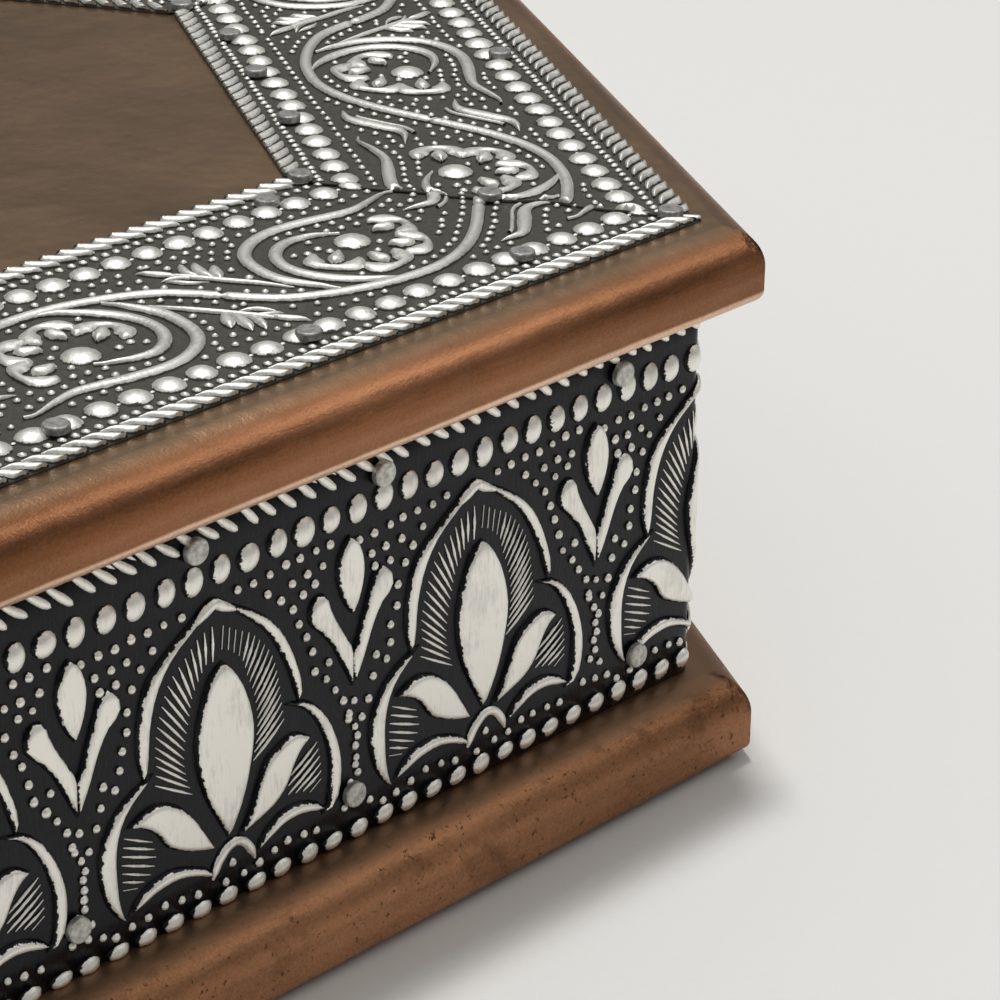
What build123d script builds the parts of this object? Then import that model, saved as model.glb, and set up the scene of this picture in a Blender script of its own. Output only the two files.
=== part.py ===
"""Hexagonal trinket box: wooden carcass, copper-clad lid and base, embossed metal strips, hinged lid.

The origin is the middle of the underside. +Z is up, the front side faces -Y, the hinges are at +Y.
All sizes are in millimetres.
"""

import math
import os

from build123d import *

# Plan
SIDES = 6
BAND_SIDE = 82.0              # length of the lid's ornament band along its outer edge
BAND_WIDTH = 30.0             # width of each embossed strip on the lid
WALL_INSET = -0.3             # wooden wall face, inwards from the band's outer edge
LID_OVERHANG = 5.0            # lid nose, outwards from the band's outer edge
BASE_OVERHANG = 5.5           # base nose, outwards from the band's outer edge

# Heights
FELT_THICKNESS = 0.8
BASE_THICKNESS = 7.0
WALL_HEIGHT = 34.8
LID_THICKNESS = 6.0
LID_SEAT_GAP = 0.1            # between the lid and the top of the walls

# Wood
WALL_THICKNESS = 6.5
WALL_CORNER_RADIUS = 1.5      # outside corner of the walls, over which the strip is bent

# Copper sheet
COPPER_THICKNESS = 0.4
COPPER_FOLD = 3.2             # width folded under the lid and the base
LID_TOP_RADIUS = 3.2
LID_BOTTOM_RADIUS = 1.2
BASE_TOP_RADIUS = 3.4
BASE_BOTTOM_RADIUS = 0.8

# Embossed strips
STRIP_THICKNESS = 0.5
SIDE_STRIP_TOP_GAP = 0.4      # top edge of the side strip, below the top of the walls
SIDE_STRIP_BOTTOM_GAP = 0.05
STRIP_SEAM = 0.3              # open seam where the side strip's ends meet
STRIP_MITRE_GAP = 0.15        # between neighbouring strips on the lid

# Felt
FELT_MARGIN = 6.0             # from the base nose to the felt's edge
LINING_THICKNESS = 0.8
LINING_CLEARANCE = 0.4        # around the lining on the floor

# Nails
NAIL_HEAD_DIAMETER = 2.1
NAIL_HEAD_HEIGHT = 0.6
NAIL_SHANK_DIAMETER = 0.9
NAIL_LENGTH = 4.5             # under the head
NAIL_CLEARANCE = 0.02         # around the shank
OUTER_ROW_INSET = 3.9         # outer row of lid nails, in from the band's outer edge
INNER_ROW_INSET = 3.4         # inner row of lid nails, in from the band's inner edge
CORNER_NAIL_INSET = 1.9       # nails on the mitres, in from each border
TOP_NAIL_DROP = 4.0           # upper row of side nails, below the top of the walls
BOTTOM_NAIL_RISE = 4.3        # lower row of side nails, above the base
# The nails were driven by hand, so every side has its own spacing, from its left end.
OUTER_ROW = ((18.0, 42.4, 65.5), (43.8, 71.0), (19.0, 60.0), (17.0, 39.0, 63.0), (22.0, 45.0, 64.0), (41.0, 61.0))
INNER_ROW = ((25.0, 59.2), (31.4, 44.3, 55.3), (24.0, 41.0, 58.0), (30.0, 52.0), (26.0, 43.0, 57.0), (28.0, 51.0))
TOP_ROW = (4.6, 26.8, 45.8, 72.8)
BOTTOM_ROW = (14.5, 42.5, 75.5)
SIDE_SHIFT = (0.0, 1.6, -1.2, 0.9, -1.8, 1.3)

# Base fixing nails
FIXING_HEAD_DIAMETER = 4.0
FIXING_HEAD_HEIGHT = 0.9
FIXING_SHANK_DIAMETER = 1.6
FIXING_LENGTH = 18.0
FIXINGS_PER_WALL = 2
FIXING_SPACING = 44.0

# Hinges
HINGE_SPACING = 44.0          # between the middles of the two hinges
HINGE_WIDTH = 20.0
LEAF_THICKNESS = 0.8
LEAF_GAP = 0.05               # from the hinge plane to each leaf
KNUCKLE_RADIUS = 1.4
KNUCKLE_GAP = 0.2
KNUCKLE_OFFSET = 0.6          # from the side strip to the knuckles
KNUCKLE_CLEARANCE = 0.4       # pocket around the knuckles
PIN_RADIUS = 0.55
PIN_CLEARANCE = 0.05
PIN_HEAD_RADIUS = 0.9
PIN_HEAD_HEIGHT = 0.4
MORTISE_CLEARANCE = 0.1
LEAF_INSET = 0.8              # from the inner wall face to the leaves
SCREW_SPACING = 12.0
SCREW_RADIUS = 0.7
SCREW_HEAD_RADIUS = 1.3
SCREW_LENGTH = 4.0
SCREW_CLEARANCE = 0.02

# Derived places
HALF_ANGLE = math.pi / SIDES
SIDE_ANGLE = 360.0 / SIDES
BAND_APOTHEM = BAND_SIDE / 2 / math.tan(HALF_ANGLE)
WALL_APOTHEM = BAND_APOTHEM - WALL_INSET
ROOM_APOTHEM = WALL_APOTHEM - WALL_THICKNESS
STRIP_APOTHEM = WALL_APOTHEM + STRIP_THICKNESS
LID_APOTHEM = BAND_APOTHEM + LID_OVERHANG
BASE_APOTHEM = BAND_APOTHEM + BASE_OVERHANG
BASE_BOTTOM = FELT_THICKNESS
BASE_TOP = BASE_BOTTOM + BASE_THICKNESS
WALL_TOP = BASE_TOP + WALL_HEIGHT
LID_BOTTOM = WALL_TOP + LID_SEAT_GAP
LID_TOP = LID_BOTTOM + LID_THICKNESS
STRIP_TOP = LID_TOP + STRIP_THICKNESS
HINGE_Y = STRIP_APOTHEM + KNUCKLE_OFFSET + KNUCKLE_RADIUS
HINGE_Z = WALL_TOP + LID_SEAT_GAP / 2
LEAF_INNER_Y = ROOM_APOTHEM + LEAF_INSET
SCREW_Y = WALL_APOTHEM - (WALL_APOTHEM - LEAF_INNER_Y) / 2


def side_length(apothem):
    return 2 * apothem * math.tan(HALF_ANGLE)


def hexagon(apothem, bottom, top):
    """A six-sided prism with a flat side facing -Y."""
    outline = RegularPolygon(apothem, SIDES, major_radius=False)
    return extrude(Plane.XY.offset(bottom) * outline, top - bottom)


def moulded_board(apothem, bottom, top, top_radius, bottom_radius):
    """A six-sided board whose edge is rounded above and below."""
    reach = 2 * apothem
    body = None
    for number in range(SIDES // 2):
        slab = Pos(0, 0, (bottom + top) / 2) * Box(2 * reach, 2 * apothem, top - bottom)
        long_edges = slab.edges().filter_by(Axis.X)
        upper = long_edges.filter_by(lambda edge: edge.center().Z > (bottom + top) / 2)
        slab = fillet(upper, top_radius)
        lower = slab.edges().filter_by(Axis.X).filter_by(lambda edge: edge.center().Z < bottom + 0.001)
        slab = fillet(lower.filter_by(lambda edge: abs(edge.center().Y) > apothem - 0.001), bottom_radius)
        slab = Rot(0, 0, number * SIDE_ANGLE) * slab
        body = slab if body is None else body & slab
    return body


def cylinders(places, radius, low, high):
    """Upright cylinders at the given plan places."""
    height = high - low
    middle = (low + high) / 2
    return [Pos(x, y, middle) * Cylinder(radius, height) for x, y in places]


def around(side, along, apothem):
    """The plan place on a side: along runs to the right seen from outside, from the side's middle."""
    angle = math.radians(side * SIDE_ANGLE)
    x = along * math.cos(angle) + apothem * math.sin(angle)
    y = along * math.sin(angle) - apothem * math.cos(angle)
    return x, y


def lid_nail_places():
    places = []
    start = -BAND_SIDE / 2
    for side in range(SIDES):
        for distance in OUTER_ROW[side]:
            places.append(around(side, start + distance, BAND_APOTHEM - OUTER_ROW_INSET))
        for distance in INNER_ROW[side]:
            places.append(around(side, start + distance, BAND_APOTHEM - BAND_WIDTH + INNER_ROW_INSET))
        mitre_insets = (CORNER_NAIL_INSET, BAND_WIDTH / 2, BAND_WIDTH - CORNER_NAIL_INSET / 2)
        for inset in mitre_insets:
            apothem = BAND_APOTHEM - inset
            places.append(around(side, side_length(apothem) / 2, apothem))
    return places


def side_nail_places():
    """Side number, distance from the side's middle, and height of each nail in the walls."""
    places = []
    start = -side_length(STRIP_APOTHEM) / 2
    for side in range(SIDES):
        for distance in TOP_ROW:
            places.append((side, start + distance + SIDE_SHIFT[side], WALL_TOP - TOP_NAIL_DROP))
        for distance in BOTTOM_ROW:
            places.append((side, start + distance + SIDE_SHIFT[side], BASE_TOP + BOTTOM_NAIL_RISE))
    return places


def fixing_places():
    places = []
    middle_apothem = (WALL_APOTHEM + ROOM_APOTHEM) / 2
    for side in range(SIDES):
        for number in range(FIXINGS_PER_WALL):
            along = (number - (FIXINGS_PER_WALL - 1) / 2) * FIXING_SPACING
            places.append(around(side, along, middle_apothem))
    return places


def nail(radius_add=0.0, with_head=True):
    """A nail pointing down from its origin, which is the underside of its head."""
    shank = Pos(0, 0, -NAIL_LENGTH / 2) * Cylinder(NAIL_SHANK_DIAMETER / 2 + radius_add, NAIL_LENGTH)
    if not with_head:
        return shank
    head = Pos(0, 0, NAIL_HEAD_HEIGHT / 2) * Cylinder(NAIL_HEAD_DIAMETER / 2, NAIL_HEAD_HEIGHT)
    rim = head.edges().group_by(Axis.Z)[-1]
    return fillet(rim, NAIL_HEAD_HEIGHT / 3) + shank


def lid_nails(radius_add=0.0, with_head=True):
    one = nail(radius_add, with_head)
    return [Pos(x, y, STRIP_TOP) * one for x, y in lid_nail_places()]


def side_nails(radius_add=0.0, with_head=True):
    one = Rot(90, 0, 0) * nail(radius_add, with_head)
    placed = []
    for side, along, height in side_nail_places():
        stand = Rot(0, 0, side * SIDE_ANGLE)
        placed.append(stand * Pos(along, -STRIP_APOTHEM, height) * one)
    return placed


def fixing_nails(radius_add=0.0):
    nails = []
    for x, y in fixing_places():
        head = Pos(x, y, BASE_BOTTOM + FIXING_HEAD_HEIGHT / 2)
        shank = Pos(x, y, BASE_BOTTOM + FIXING_LENGTH / 2)
        solid = head * Cylinder(FIXING_HEAD_DIAMETER / 2 + radius_add, FIXING_HEAD_HEIGHT)
        solid += shank * Cylinder(FIXING_SHANK_DIAMETER / 2 + radius_add, FIXING_LENGTH)
        nails.append(solid)
    return nails


def block(x_low, x_high, y_low, y_high, z_low, z_high):
    middle = Pos((x_low + x_high) / 2, (y_low + y_high) / 2, (z_low + z_high) / 2)
    return middle * Box(x_high - x_low, y_high - y_low, z_high - z_low)


def rod(x_low, x_high, radius):
    """A round bar along the hinge axis."""
    turned = Pos((x_low + x_high) / 2, HINGE_Y, HINGE_Z) * Rot(0, 90, 0)
    return turned * Cylinder(radius, x_high - x_low)


HINGE_MIDDLES = (-HINGE_SPACING / 2, HINGE_SPACING / 2)
KNUCKLE_LENGTH = (HINGE_WIDTH - 2 * KNUCKLE_GAP) / 3


def leaf(middle, upper):
    """One hinge leaf with its knuckles. The lower leaf has the two outer ones, the upper the middle one."""
    if upper:
        low, high = HINGE_Z + LEAF_GAP, HINGE_Z + LEAF_GAP + LEAF_THICKNESS
        starts = [KNUCKLE_LENGTH + KNUCKLE_GAP]
    else:
        low, high = HINGE_Z - LEAF_GAP - LEAF_THICKNESS, HINGE_Z - LEAF_GAP
        starts = [0.0, 2 * (KNUCKLE_LENGTH + KNUCKLE_GAP)]
    left = middle - HINGE_WIDTH / 2
    plate_end = HINGE_Y - KNUCKLE_RADIUS - KNUCKLE_CLEARANCE
    body = block(left, left + HINGE_WIDTH, LEAF_INNER_Y, plate_end, low, high)
    for start in starts:
        x_low, x_high = left + start, left + start + KNUCKLE_LENGTH
        body += block(x_low, x_high, plate_end, HINGE_Y, low, high)
        body += rod(x_low, x_high, KNUCKLE_RADIUS)
    body -= rod(left - 1, left + HINGE_WIDTH + 1, PIN_RADIUS + PIN_CLEARANCE)
    for screw in leaf_screws(middle, upper, SCREW_CLEARANCE):
        body -= screw
    return body


def leaf_screws(middle, upper, radius_add=0.0):
    """Countersunk wood screws through one leaf, heads flush with its open face."""
    screws = []
    cone_height = LEAF_THICKNESS * 0.75
    for sign in (-1, 1):
        x = middle + sign * SCREW_SPACING / 2
        face = HINGE_Z + LEAF_GAP if upper else HINGE_Z - LEAF_GAP
        way = 1 if upper else -1
        cone_low, cone_high = SCREW_HEAD_RADIUS + radius_add, SCREW_RADIUS + radius_add
        if upper:
            cone = Cone(cone_low, cone_high, cone_height)
        else:
            cone = Cone(cone_high, cone_low, cone_height)
        head = Pos(x, SCREW_Y, face + way * cone_height / 2) * cone
        shank = Pos(x, SCREW_Y, face + way * SCREW_LENGTH / 2) * Cylinder(SCREW_RADIUS + radius_add, SCREW_LENGTH)
        screws.append(head + shank)
    return screws


def hinge_pin(middle):
    half = HINGE_WIDTH / 2
    body = rod(middle - half, middle + half, PIN_RADIUS)
    body += rod(middle - half - PIN_HEAD_HEIGHT, middle - half, PIN_HEAD_RADIUS)
    body += rod(middle + half, middle + half + PIN_HEAD_HEIGHT, PIN_HEAD_RADIUS)
    return body


def mortise(middle, upper):
    """The room that a leaf needs in the wood and in the sheets."""
    margin = MORTISE_CLEARANCE
    reach = 2 * KNUCKLE_RADIUS + LID_OVERHANG
    half = HINGE_WIDTH / 2 + margin
    if upper:
        low, high = HINGE_Z - 1, HINGE_Z + LEAF_GAP + LEAF_THICKNESS
    else:
        low, high = HINGE_Z - LEAF_GAP - LEAF_THICKNESS, HINGE_Z + 1
    end = HINGE_Y if upper else HINGE_Y + reach
    return block(middle - half, middle + half, LEAF_INNER_Y - margin, end, low, high)


def knuckle_pocket(middle):
    """The pocket in the lid's overhang around the knuckles, open below and behind."""
    half = HINGE_WIDTH / 2 + PIN_HEAD_HEIGHT + KNUCKLE_CLEARANCE
    radius = KNUCKLE_RADIUS + KNUCKLE_CLEARANCE
    round_part = rod(middle - half, middle + half, radius)
    low = LID_BOTTOM - COPPER_THICKNESS - 1
    open_part = block(middle - half, middle + half, HINGE_Y - radius, HINGE_Y + radius, low, HINGE_Z)
    return round_part + open_part


def base_board():
    body = moulded_board(BASE_APOTHEM - COPPER_THICKNESS, BASE_BOTTOM + COPPER_THICKNESS,
                         BASE_TOP - COPPER_THICKNESS, BASE_TOP_RADIUS - COPPER_THICKNESS,
                         BASE_BOTTOM_RADIUS - COPPER_THICKNESS)
    body += hexagon(WALL_APOTHEM, BASE_TOP - 2 * COPPER_THICKNESS, BASE_TOP)
    body += hexagon(BASE_APOTHEM - COPPER_FOLD, BASE_BOTTOM, BASE_BOTTOM + 2 * COPPER_THICKNESS)
    for hole in fixing_nails(NAIL_CLEARANCE):
        body -= hole
    return body


def base_copper():
    body = moulded_board(BASE_APOTHEM, BASE_BOTTOM, BASE_TOP, BASE_TOP_RADIUS, BASE_BOTTOM_RADIUS)
    body -= moulded_board(BASE_APOTHEM - COPPER_THICKNESS, BASE_BOTTOM + COPPER_THICKNESS,
                          BASE_TOP - COPPER_THICKNESS, BASE_TOP_RADIUS - COPPER_THICKNESS,
                          BASE_BOTTOM_RADIUS - COPPER_THICKNESS)
    body -= hexagon(WALL_APOTHEM, BASE_TOP - 2 * COPPER_THICKNESS, BASE_TOP + 1)
    body -= hexagon(BASE_APOTHEM - COPPER_FOLD, BASE_BOTTOM - 1, BASE_BOTTOM + 2 * COPPER_THICKNESS)
    return body


def base_felt():
    return hexagon(BASE_APOTHEM - FELT_MARGIN, 0, FELT_THICKNESS)


def floor_lining():
    return hexagon(ROOM_APOTHEM - LINING_CLEARANCE, BASE_TOP, BASE_TOP + LINING_THICKNESS)


def wall_ring():
    """All six walls in one piece, before they are mitred apart."""
    outer = hexagon(WALL_APOTHEM, BASE_TOP, WALL_TOP)
    outer = fillet(outer.edges().filter_by(Axis.Z), WALL_CORNER_RADIUS - STRIP_THICKNESS)
    ring = outer - hexagon(ROOM_APOTHEM, BASE_TOP - 1, WALL_TOP + 1)
    for hole in side_nails(NAIL_CLEARANCE, with_head=False):
        ring -= hole
    for hole in fixing_nails(NAIL_CLEARANCE):
        ring -= hole
    for middle in HINGE_MIDDLES:
        ring -= mortise(middle, upper=False)
        for hole in leaf_screws(middle, False, SCREW_CLEARANCE):
            ring -= hole
    return ring


def wall_boards():
    """The six wall boards, cut along the mitres."""
    ring = wall_ring()
    reach = 2 * WALL_APOTHEM
    half = reach * math.tan(HALF_ANGLE)
    boards = []
    for side in range(SIDES):
        wedge = extrude(Plane.XY.offset(BASE_TOP - 1) * make_face(
            Polyline((0, 0), (-half, -reach), (half, -reach), close=True)), WALL_HEIGHT + 2)
        boards.append(ring & (Rot(0, 0, side * SIDE_ANGLE) * wedge))
    return boards


def side_strip():
    """One embossed strip bent around all six walls, with its seam at the back."""
    low = BASE_TOP + SIDE_STRIP_BOTTOM_GAP
    high = WALL_TOP - SIDE_STRIP_TOP_GAP
    outer = hexagon(STRIP_APOTHEM, low, high)
    outer = fillet(outer.edges().filter_by(Axis.Z), WALL_CORNER_RADIUS)
    inner = hexagon(WALL_APOTHEM, low - 1, high + 1)
    inner = fillet(inner.edges().filter_by(Axis.Z), WALL_CORNER_RADIUS - STRIP_THICKNESS)
    body = outer - inner
    body -= block(-STRIP_SEAM / 2, STRIP_SEAM / 2, 0, 2 * STRIP_APOTHEM, low - 1, high + 1)
    for hole in side_nails(NAIL_CLEARANCE, with_head=False):
        body -= hole
    for middle in HINGE_MIDDLES:
        body -= mortise(middle, upper=False)
    return body


def lid_board():
    body = moulded_board(LID_APOTHEM - COPPER_THICKNESS, LID_BOTTOM, LID_TOP - COPPER_THICKNESS,
                         LID_TOP_RADIUS - COPPER_THICKNESS, LID_BOTTOM_RADIUS - COPPER_THICKNESS)
    for hole in lid_nails(NAIL_CLEARANCE, with_head=False):
        body -= hole
    for middle in HINGE_MIDDLES:
        body -= mortise(middle, upper=True)
        body -= knuckle_pocket(middle)
        for hole in leaf_screws(middle, True, SCREW_CLEARANCE):
            body -= hole
    return body


def lid_copper():
    body = moulded_board(LID_APOTHEM, LID_BOTTOM - COPPER_THICKNESS, LID_TOP,
                         LID_TOP_RADIUS, LID_BOTTOM_RADIUS)
    body -= moulded_board(LID_APOTHEM - COPPER_THICKNESS, LID_BOTTOM, LID_TOP - COPPER_THICKNESS,
                          LID_TOP_RADIUS - COPPER_THICKNESS, LID_BOTTOM_RADIUS - COPPER_THICKNESS)
    body -= hexagon(LID_APOTHEM - COPPER_FOLD, LID_BOTTOM - 1, LID_BOTTOM)
    for hole in lid_nails(NAIL_CLEARANCE, with_head=False):
        body -= hole
    for middle in HINGE_MIDDLES:
        body -= knuckle_pocket(middle)
    return body


def lid_strips():
    """The six mitred strips on the lid, the first one at the front."""
    holes = lid_nails(NAIL_CLEARANCE, with_head=False)
    inner = BAND_APOTHEM - BAND_WIDTH
    trim = STRIP_MITRE_GAP / 2 / math.cos(HALF_ANGLE)
    outer_half = side_length(BAND_APOTHEM) / 2 - trim
    inner_half = side_length(inner) / 2 - trim
    strips = []
    for side in range(SIDES):
        outline = Polyline((-outer_half, -BAND_APOTHEM), (outer_half, -BAND_APOTHEM),
                           (inner_half, -inner), (-inner_half, -inner), close=True)
        strip = extrude(Plane.XY.offset(LID_TOP) * make_face(outline), STRIP_THICKNESS)
        strip = Rot(0, 0, side * SIDE_ANGLE) * strip
        for hole in holes:
            strip -= hole
        strips.append(strip)
    return strips


def save(name, solids):
    """Write one node. A list of solids becomes a group of separate solids."""
    if isinstance(solids, list):
        solids = Compound(children=solids)
    export_step(solids, f"parts/{name}.step")


WALL_NAMES = ("front", "front_right", "back_right", "back", "back_left", "front_left")

os.makedirs("parts", exist_ok=True)
save("base_board", base_board())
save("base_copper", base_copper())
save("base_felt", base_felt())
save("base_fixing_nails", fixing_nails())
save("floor_lining", floor_lining())
for name, board in zip(WALL_NAMES, wall_boards()):
    save(f"wall_{name}", board)
save("side_strip", side_strip())
save("side_nails", side_nails())
save("lid_board", lid_board())
save("lid_copper", lid_copper())
for name, strip in zip(WALL_NAMES, lid_strips()):
    save(f"lid_strip_{name}", strip)
save("lid_nails", lid_nails())
for name, middle in zip(("left", "right"), HINGE_MIDDLES):
    save(f"hinge_{name}_body_leaf", leaf(middle, upper=False))
    save(f"hinge_{name}_lid_leaf", leaf(middle, upper=True))
    save(f"hinge_{name}_pin", hinge_pin(middle))
save("hinge_body_screws", [screw for middle in HINGE_MIDDLES for screw in leaf_screws(middle, False)])
save("hinge_lid_screws", [screw for middle in HINGE_MIDDLES for screw in leaf_screws(middle, True)])
print("hinge axis y, z:", round(HINGE_Y, 4), round(HINGE_Z, 4))
print("room apothem:", round(ROOM_APOTHEM, 3), "wall top:", WALL_TOP, "base top:", BASE_TOP)
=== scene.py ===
import math

import bmesh
import bpy
import numpy as np
from mathutils import Matrix, Vector


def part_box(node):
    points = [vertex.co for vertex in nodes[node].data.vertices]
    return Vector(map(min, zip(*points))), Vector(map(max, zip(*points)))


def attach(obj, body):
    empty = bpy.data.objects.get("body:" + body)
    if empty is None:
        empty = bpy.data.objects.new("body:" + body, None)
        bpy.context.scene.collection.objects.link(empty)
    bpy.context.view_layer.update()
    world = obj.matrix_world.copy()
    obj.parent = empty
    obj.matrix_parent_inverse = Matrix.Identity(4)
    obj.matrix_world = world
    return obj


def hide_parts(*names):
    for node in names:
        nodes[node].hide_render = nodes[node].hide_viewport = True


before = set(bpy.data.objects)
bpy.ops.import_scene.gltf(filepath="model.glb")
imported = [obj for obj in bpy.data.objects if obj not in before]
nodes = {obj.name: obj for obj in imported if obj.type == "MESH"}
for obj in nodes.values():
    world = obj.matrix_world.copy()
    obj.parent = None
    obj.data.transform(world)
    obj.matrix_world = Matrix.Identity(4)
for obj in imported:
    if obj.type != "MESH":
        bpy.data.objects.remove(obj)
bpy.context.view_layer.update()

# Camera
# A long lens looks down on the visible corner of the box from its left. It is turned a little about its
# own line of sight, because the upright corner leans in the photograph.
CAMERA_PLACE = (-0.16898, -0.24834, 0.15285)
CAMERA_HEADING = 46.55
CAMERA_DOWN = 25.22
CAMERA_ROLL = 0.745
CAMERA_LENS = 129.81
SENSOR_WIDTH = 36.0
NEAREST_SEEN = 0.01
camera_data = bpy.data.cameras.new("camera")
camera_data.lens = CAMERA_LENS
camera_data.sensor_width = SENSOR_WIDTH
camera_data.clip_start = NEAREST_SEEN
camera = bpy.data.objects.new("camera", camera_data)
camera.location = CAMERA_PLACE
turn = Matrix.Rotation(math.radians(-CAMERA_HEADING), 3, "Z")
turn = turn @ Matrix.Rotation(math.radians(90 - CAMERA_DOWN), 3, "X")
turn = turn @ Matrix.Rotation(math.radians(CAMERA_ROLL), 3, "Z")
camera.rotation_euler = turn.to_euler()
bpy.context.scene.collection.objects.link(camera)
bpy.context.scene.camera = camera
bpy.context.scene.view_settings.view_transform = "Standard"

# Floor and light
# A plain pale table top under one soft lamp high above, with a dim panel low at the right and a pale room
# around them. The background is pale by its own colour, not by more light on the box.
FLOOR_COLOUR = (0.80, 0.79, 0.76)
FLOOR_REACH = 3.0
BACKGROUND_COLOUR = (0.76, 0.76, 0.73, 1)
ROOM_STRENGTH = 0.56
# How bright the room is, from the horizon up to straight above.
ROOM_BRIGHTNESS = [(0.0, 0.30), (0.34, 0.24), (0.54, 0.75), (0.68, 1.0), (0.8, 0.85), (1.0, 0.62)]


def material(name, base=(0.8, 0.8, 0.8), metallic=0.0, roughness=0.5, **sockets):
    """A new material with its constant values on the shader's own sockets."""
    made = bpy.data.materials.new(name)
    made.use_nodes = True
    shader = made.node_tree.nodes["Principled BSDF"]
    shader.inputs["Base Color"].default_value = (*base, 1)
    shader.inputs["Metallic"].default_value = metallic
    shader.inputs["Roughness"].default_value = roughness
    for socket, value in sockets.items():
        shader.inputs[socket.replace("_", " ")].default_value = value
    return made, made.node_tree, shader


def add(tree, kind, links=None, **settings):
    """A node in the tree. Links feed its inputs: a socket, a number or a colour for each input."""
    made = tree.nodes.new(kind)
    for name, value in settings.items():
        setattr(made, name, value)
    for name, source in (links or {}).items():
        socket = made.inputs[name]
        if isinstance(source, bpy.types.NodeSocket):
            tree.links.new(source, socket)
        else:
            socket.default_value = source
    return made


def object_space(tree):
    """Places on the piece itself, so that a pattern stays on it when it moves."""
    return add(tree, "ShaderNodeTexCoord").outputs["Object"]


def noise(tree, coordinates, scale, detail=3.0, roughness=0.55, stretch=None):
    """Noise at the given number of waves per metre, stretched where three factors are given."""
    if stretch:
        mapping = add(tree, "ShaderNodeMapping", {"Vector": coordinates, "Scale": stretch})
        coordinates = mapping.outputs[0]
    made = add(tree, "ShaderNodeTexNoise", {"Vector": coordinates, "Scale": scale, "Detail": detail,
                                            "Roughness": roughness})
    return made.outputs["Factor"] if "Factor" in made.outputs else made.outputs["Fac"]


def ramp(tree, factor, stops):
    """A colour ramp. Stops are pairs of a place and a grey level or a colour."""
    made = add(tree, "ShaderNodeValToRGB", {"Fac": factor})
    elements = made.color_ramp.elements
    while len(elements) < len(stops):
        elements.new(0.5)
    for element, (place, value) in zip(elements, stops):
        colour = (value, value, value) if isinstance(value, float) else value
        element.position = place
        element.color = (*colour, 1)
    return made.outputs["Color"]


def bump(tree, shader, height, strength, distance):
    """Fine relief on the shader, at most the given distance high."""
    made = add(tree, "ShaderNodeBump", {"Height": height, "Strength": strength, "Distance": distance})
    tree.links.new(made.outputs[0], shader.inputs["Normal"])
    return made


floor_mesh = bpy.data.meshes.new("floor")
corners = [(-FLOOR_REACH, -FLOOR_REACH, 0), (FLOOR_REACH, -FLOOR_REACH, 0),
           (FLOOR_REACH, FLOOR_REACH, 0), (-FLOOR_REACH, FLOOR_REACH, 0)]
floor_mesh.from_pydata(corners, [], [(0, 1, 2, 3)])
floor = bpy.data.objects.new("floor", floor_mesh)
bpy.context.scene.collection.objects.link(floor)
floor_material, tree, shader = material("pale_floor", FLOOR_COLOUR, roughness=0.6)
bump(tree, shader, noise(tree, object_space(tree), 900.0), 0.15, 0.0004)
floor_mesh.materials.append(floor_material)

world = bpy.data.worlds.new("room")
bpy.context.scene.world = world
world.use_nodes = True
tree = world.node_tree
upward = add(tree, "ShaderNodeSeparateXYZ", {0: add(tree, "ShaderNodeTexCoord").outputs["Generated"]})
background = tree.nodes["Background"]
tree.links.new(ramp(tree, upward.outputs["Z"], ROOM_BRIGHTNESS), background.inputs["Color"])
background.inputs["Strength"].default_value = ROOM_STRENGTH
pale = add(tree, "ShaderNodeBackground", {"Color": BACKGROUND_COLOUR, "Strength": 1.0})
seen = add(tree, "ShaderNodeLightPath").outputs["Is Camera Ray"]
room = add(tree, "ShaderNodeMixShader", {0: seen, 1: background.outputs[0], 2: pale.outputs[0]})
tree.links.new(room.outputs[0], tree.nodes["World Output"].inputs["Surface"])


def area_lamp(name, place, aim, size, power):
    """A rectangular lamp at its place, turned towards its aim."""
    data = bpy.data.lights.new(name, "AREA")
    data.shape = "RECTANGLE"
    data.size, data.size_y = size
    data.energy = power
    lamp = bpy.data.objects.new(name, data)
    lamp.location = place
    lamp.rotation_euler = (Vector(aim) - Vector(place)).to_track_quat("-Z", "Y").to_euler()
    bpy.context.scene.collection.objects.link(lamp)


area_lamp("ceiling_light", place=(0.16, 0.15, 1.5), aim=(0, 0, 0.02), size=(0.18, 0.18), power=13.2)
area_lamp("side_panel", place=(0.77, -0.556, 0.757), aim=(0.02, -0.04, 0.04), size=(0.45, 0.24), power=0.78)

# Felt
# Two hexagons of wine-red felt, cut with scissors: one is glued under the base, and one lies loose on the
# floor of the room inside.
MM = 0.001
FELT_DARK = (0.035, 0.004, 0.007)
FELT_LIGHT = (0.13, 0.016, 0.024)
FELT_CELL = 2.2
FELT_CLEARANCE = 0.1
FELT_WAVE = 0.03
RIM_DROP = 0.08
THICKNESS_SHARE = 0.82


def maths(tree, operation, *values, use_clamp=False):
    """The result of one operation on sockets and numbers, as a socket."""
    made = add(tree, "ShaderNodeMath", dict(enumerate(values)), operation=operation, use_clamp=use_clamp)
    return made.outputs[0]


felt_material, tree, shader = material("wine_red_felt", FELT_LIGHT, roughness=0.95, Sheen_Weight=0.15)
where = object_space(tree)
fibres = noise(tree, where, 2600.0, 6.0, 0.7)
patches = noise(tree, where, 60.0)
colour = ramp(tree, maths(tree, "ADD", fibres, patches), [(0.6, FELT_DARK), (1.3, FELT_LIGHT)])
tree.links.new(colour, shader.inputs["Base Color"])
bump(tree, shader, fibres, 0.8, 0.0003)


def weld(made, distance):
    """Merge doubled points and drop faces without area."""
    shape = bmesh.new()
    shape.from_mesh(made.data)
    bmesh.ops.remove_doubles(shape, verts=shape.verts, dist=distance)
    bmesh.ops.dissolve_degenerate(shape, dist=distance, edges=shape.edges)
    loose = [vertex for vertex in shape.verts if not vertex.link_faces]
    bmesh.ops.delete(shape, geom=loose, context="VERTS")
    shape.to_mesh(made.data)
    shape.free()


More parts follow.
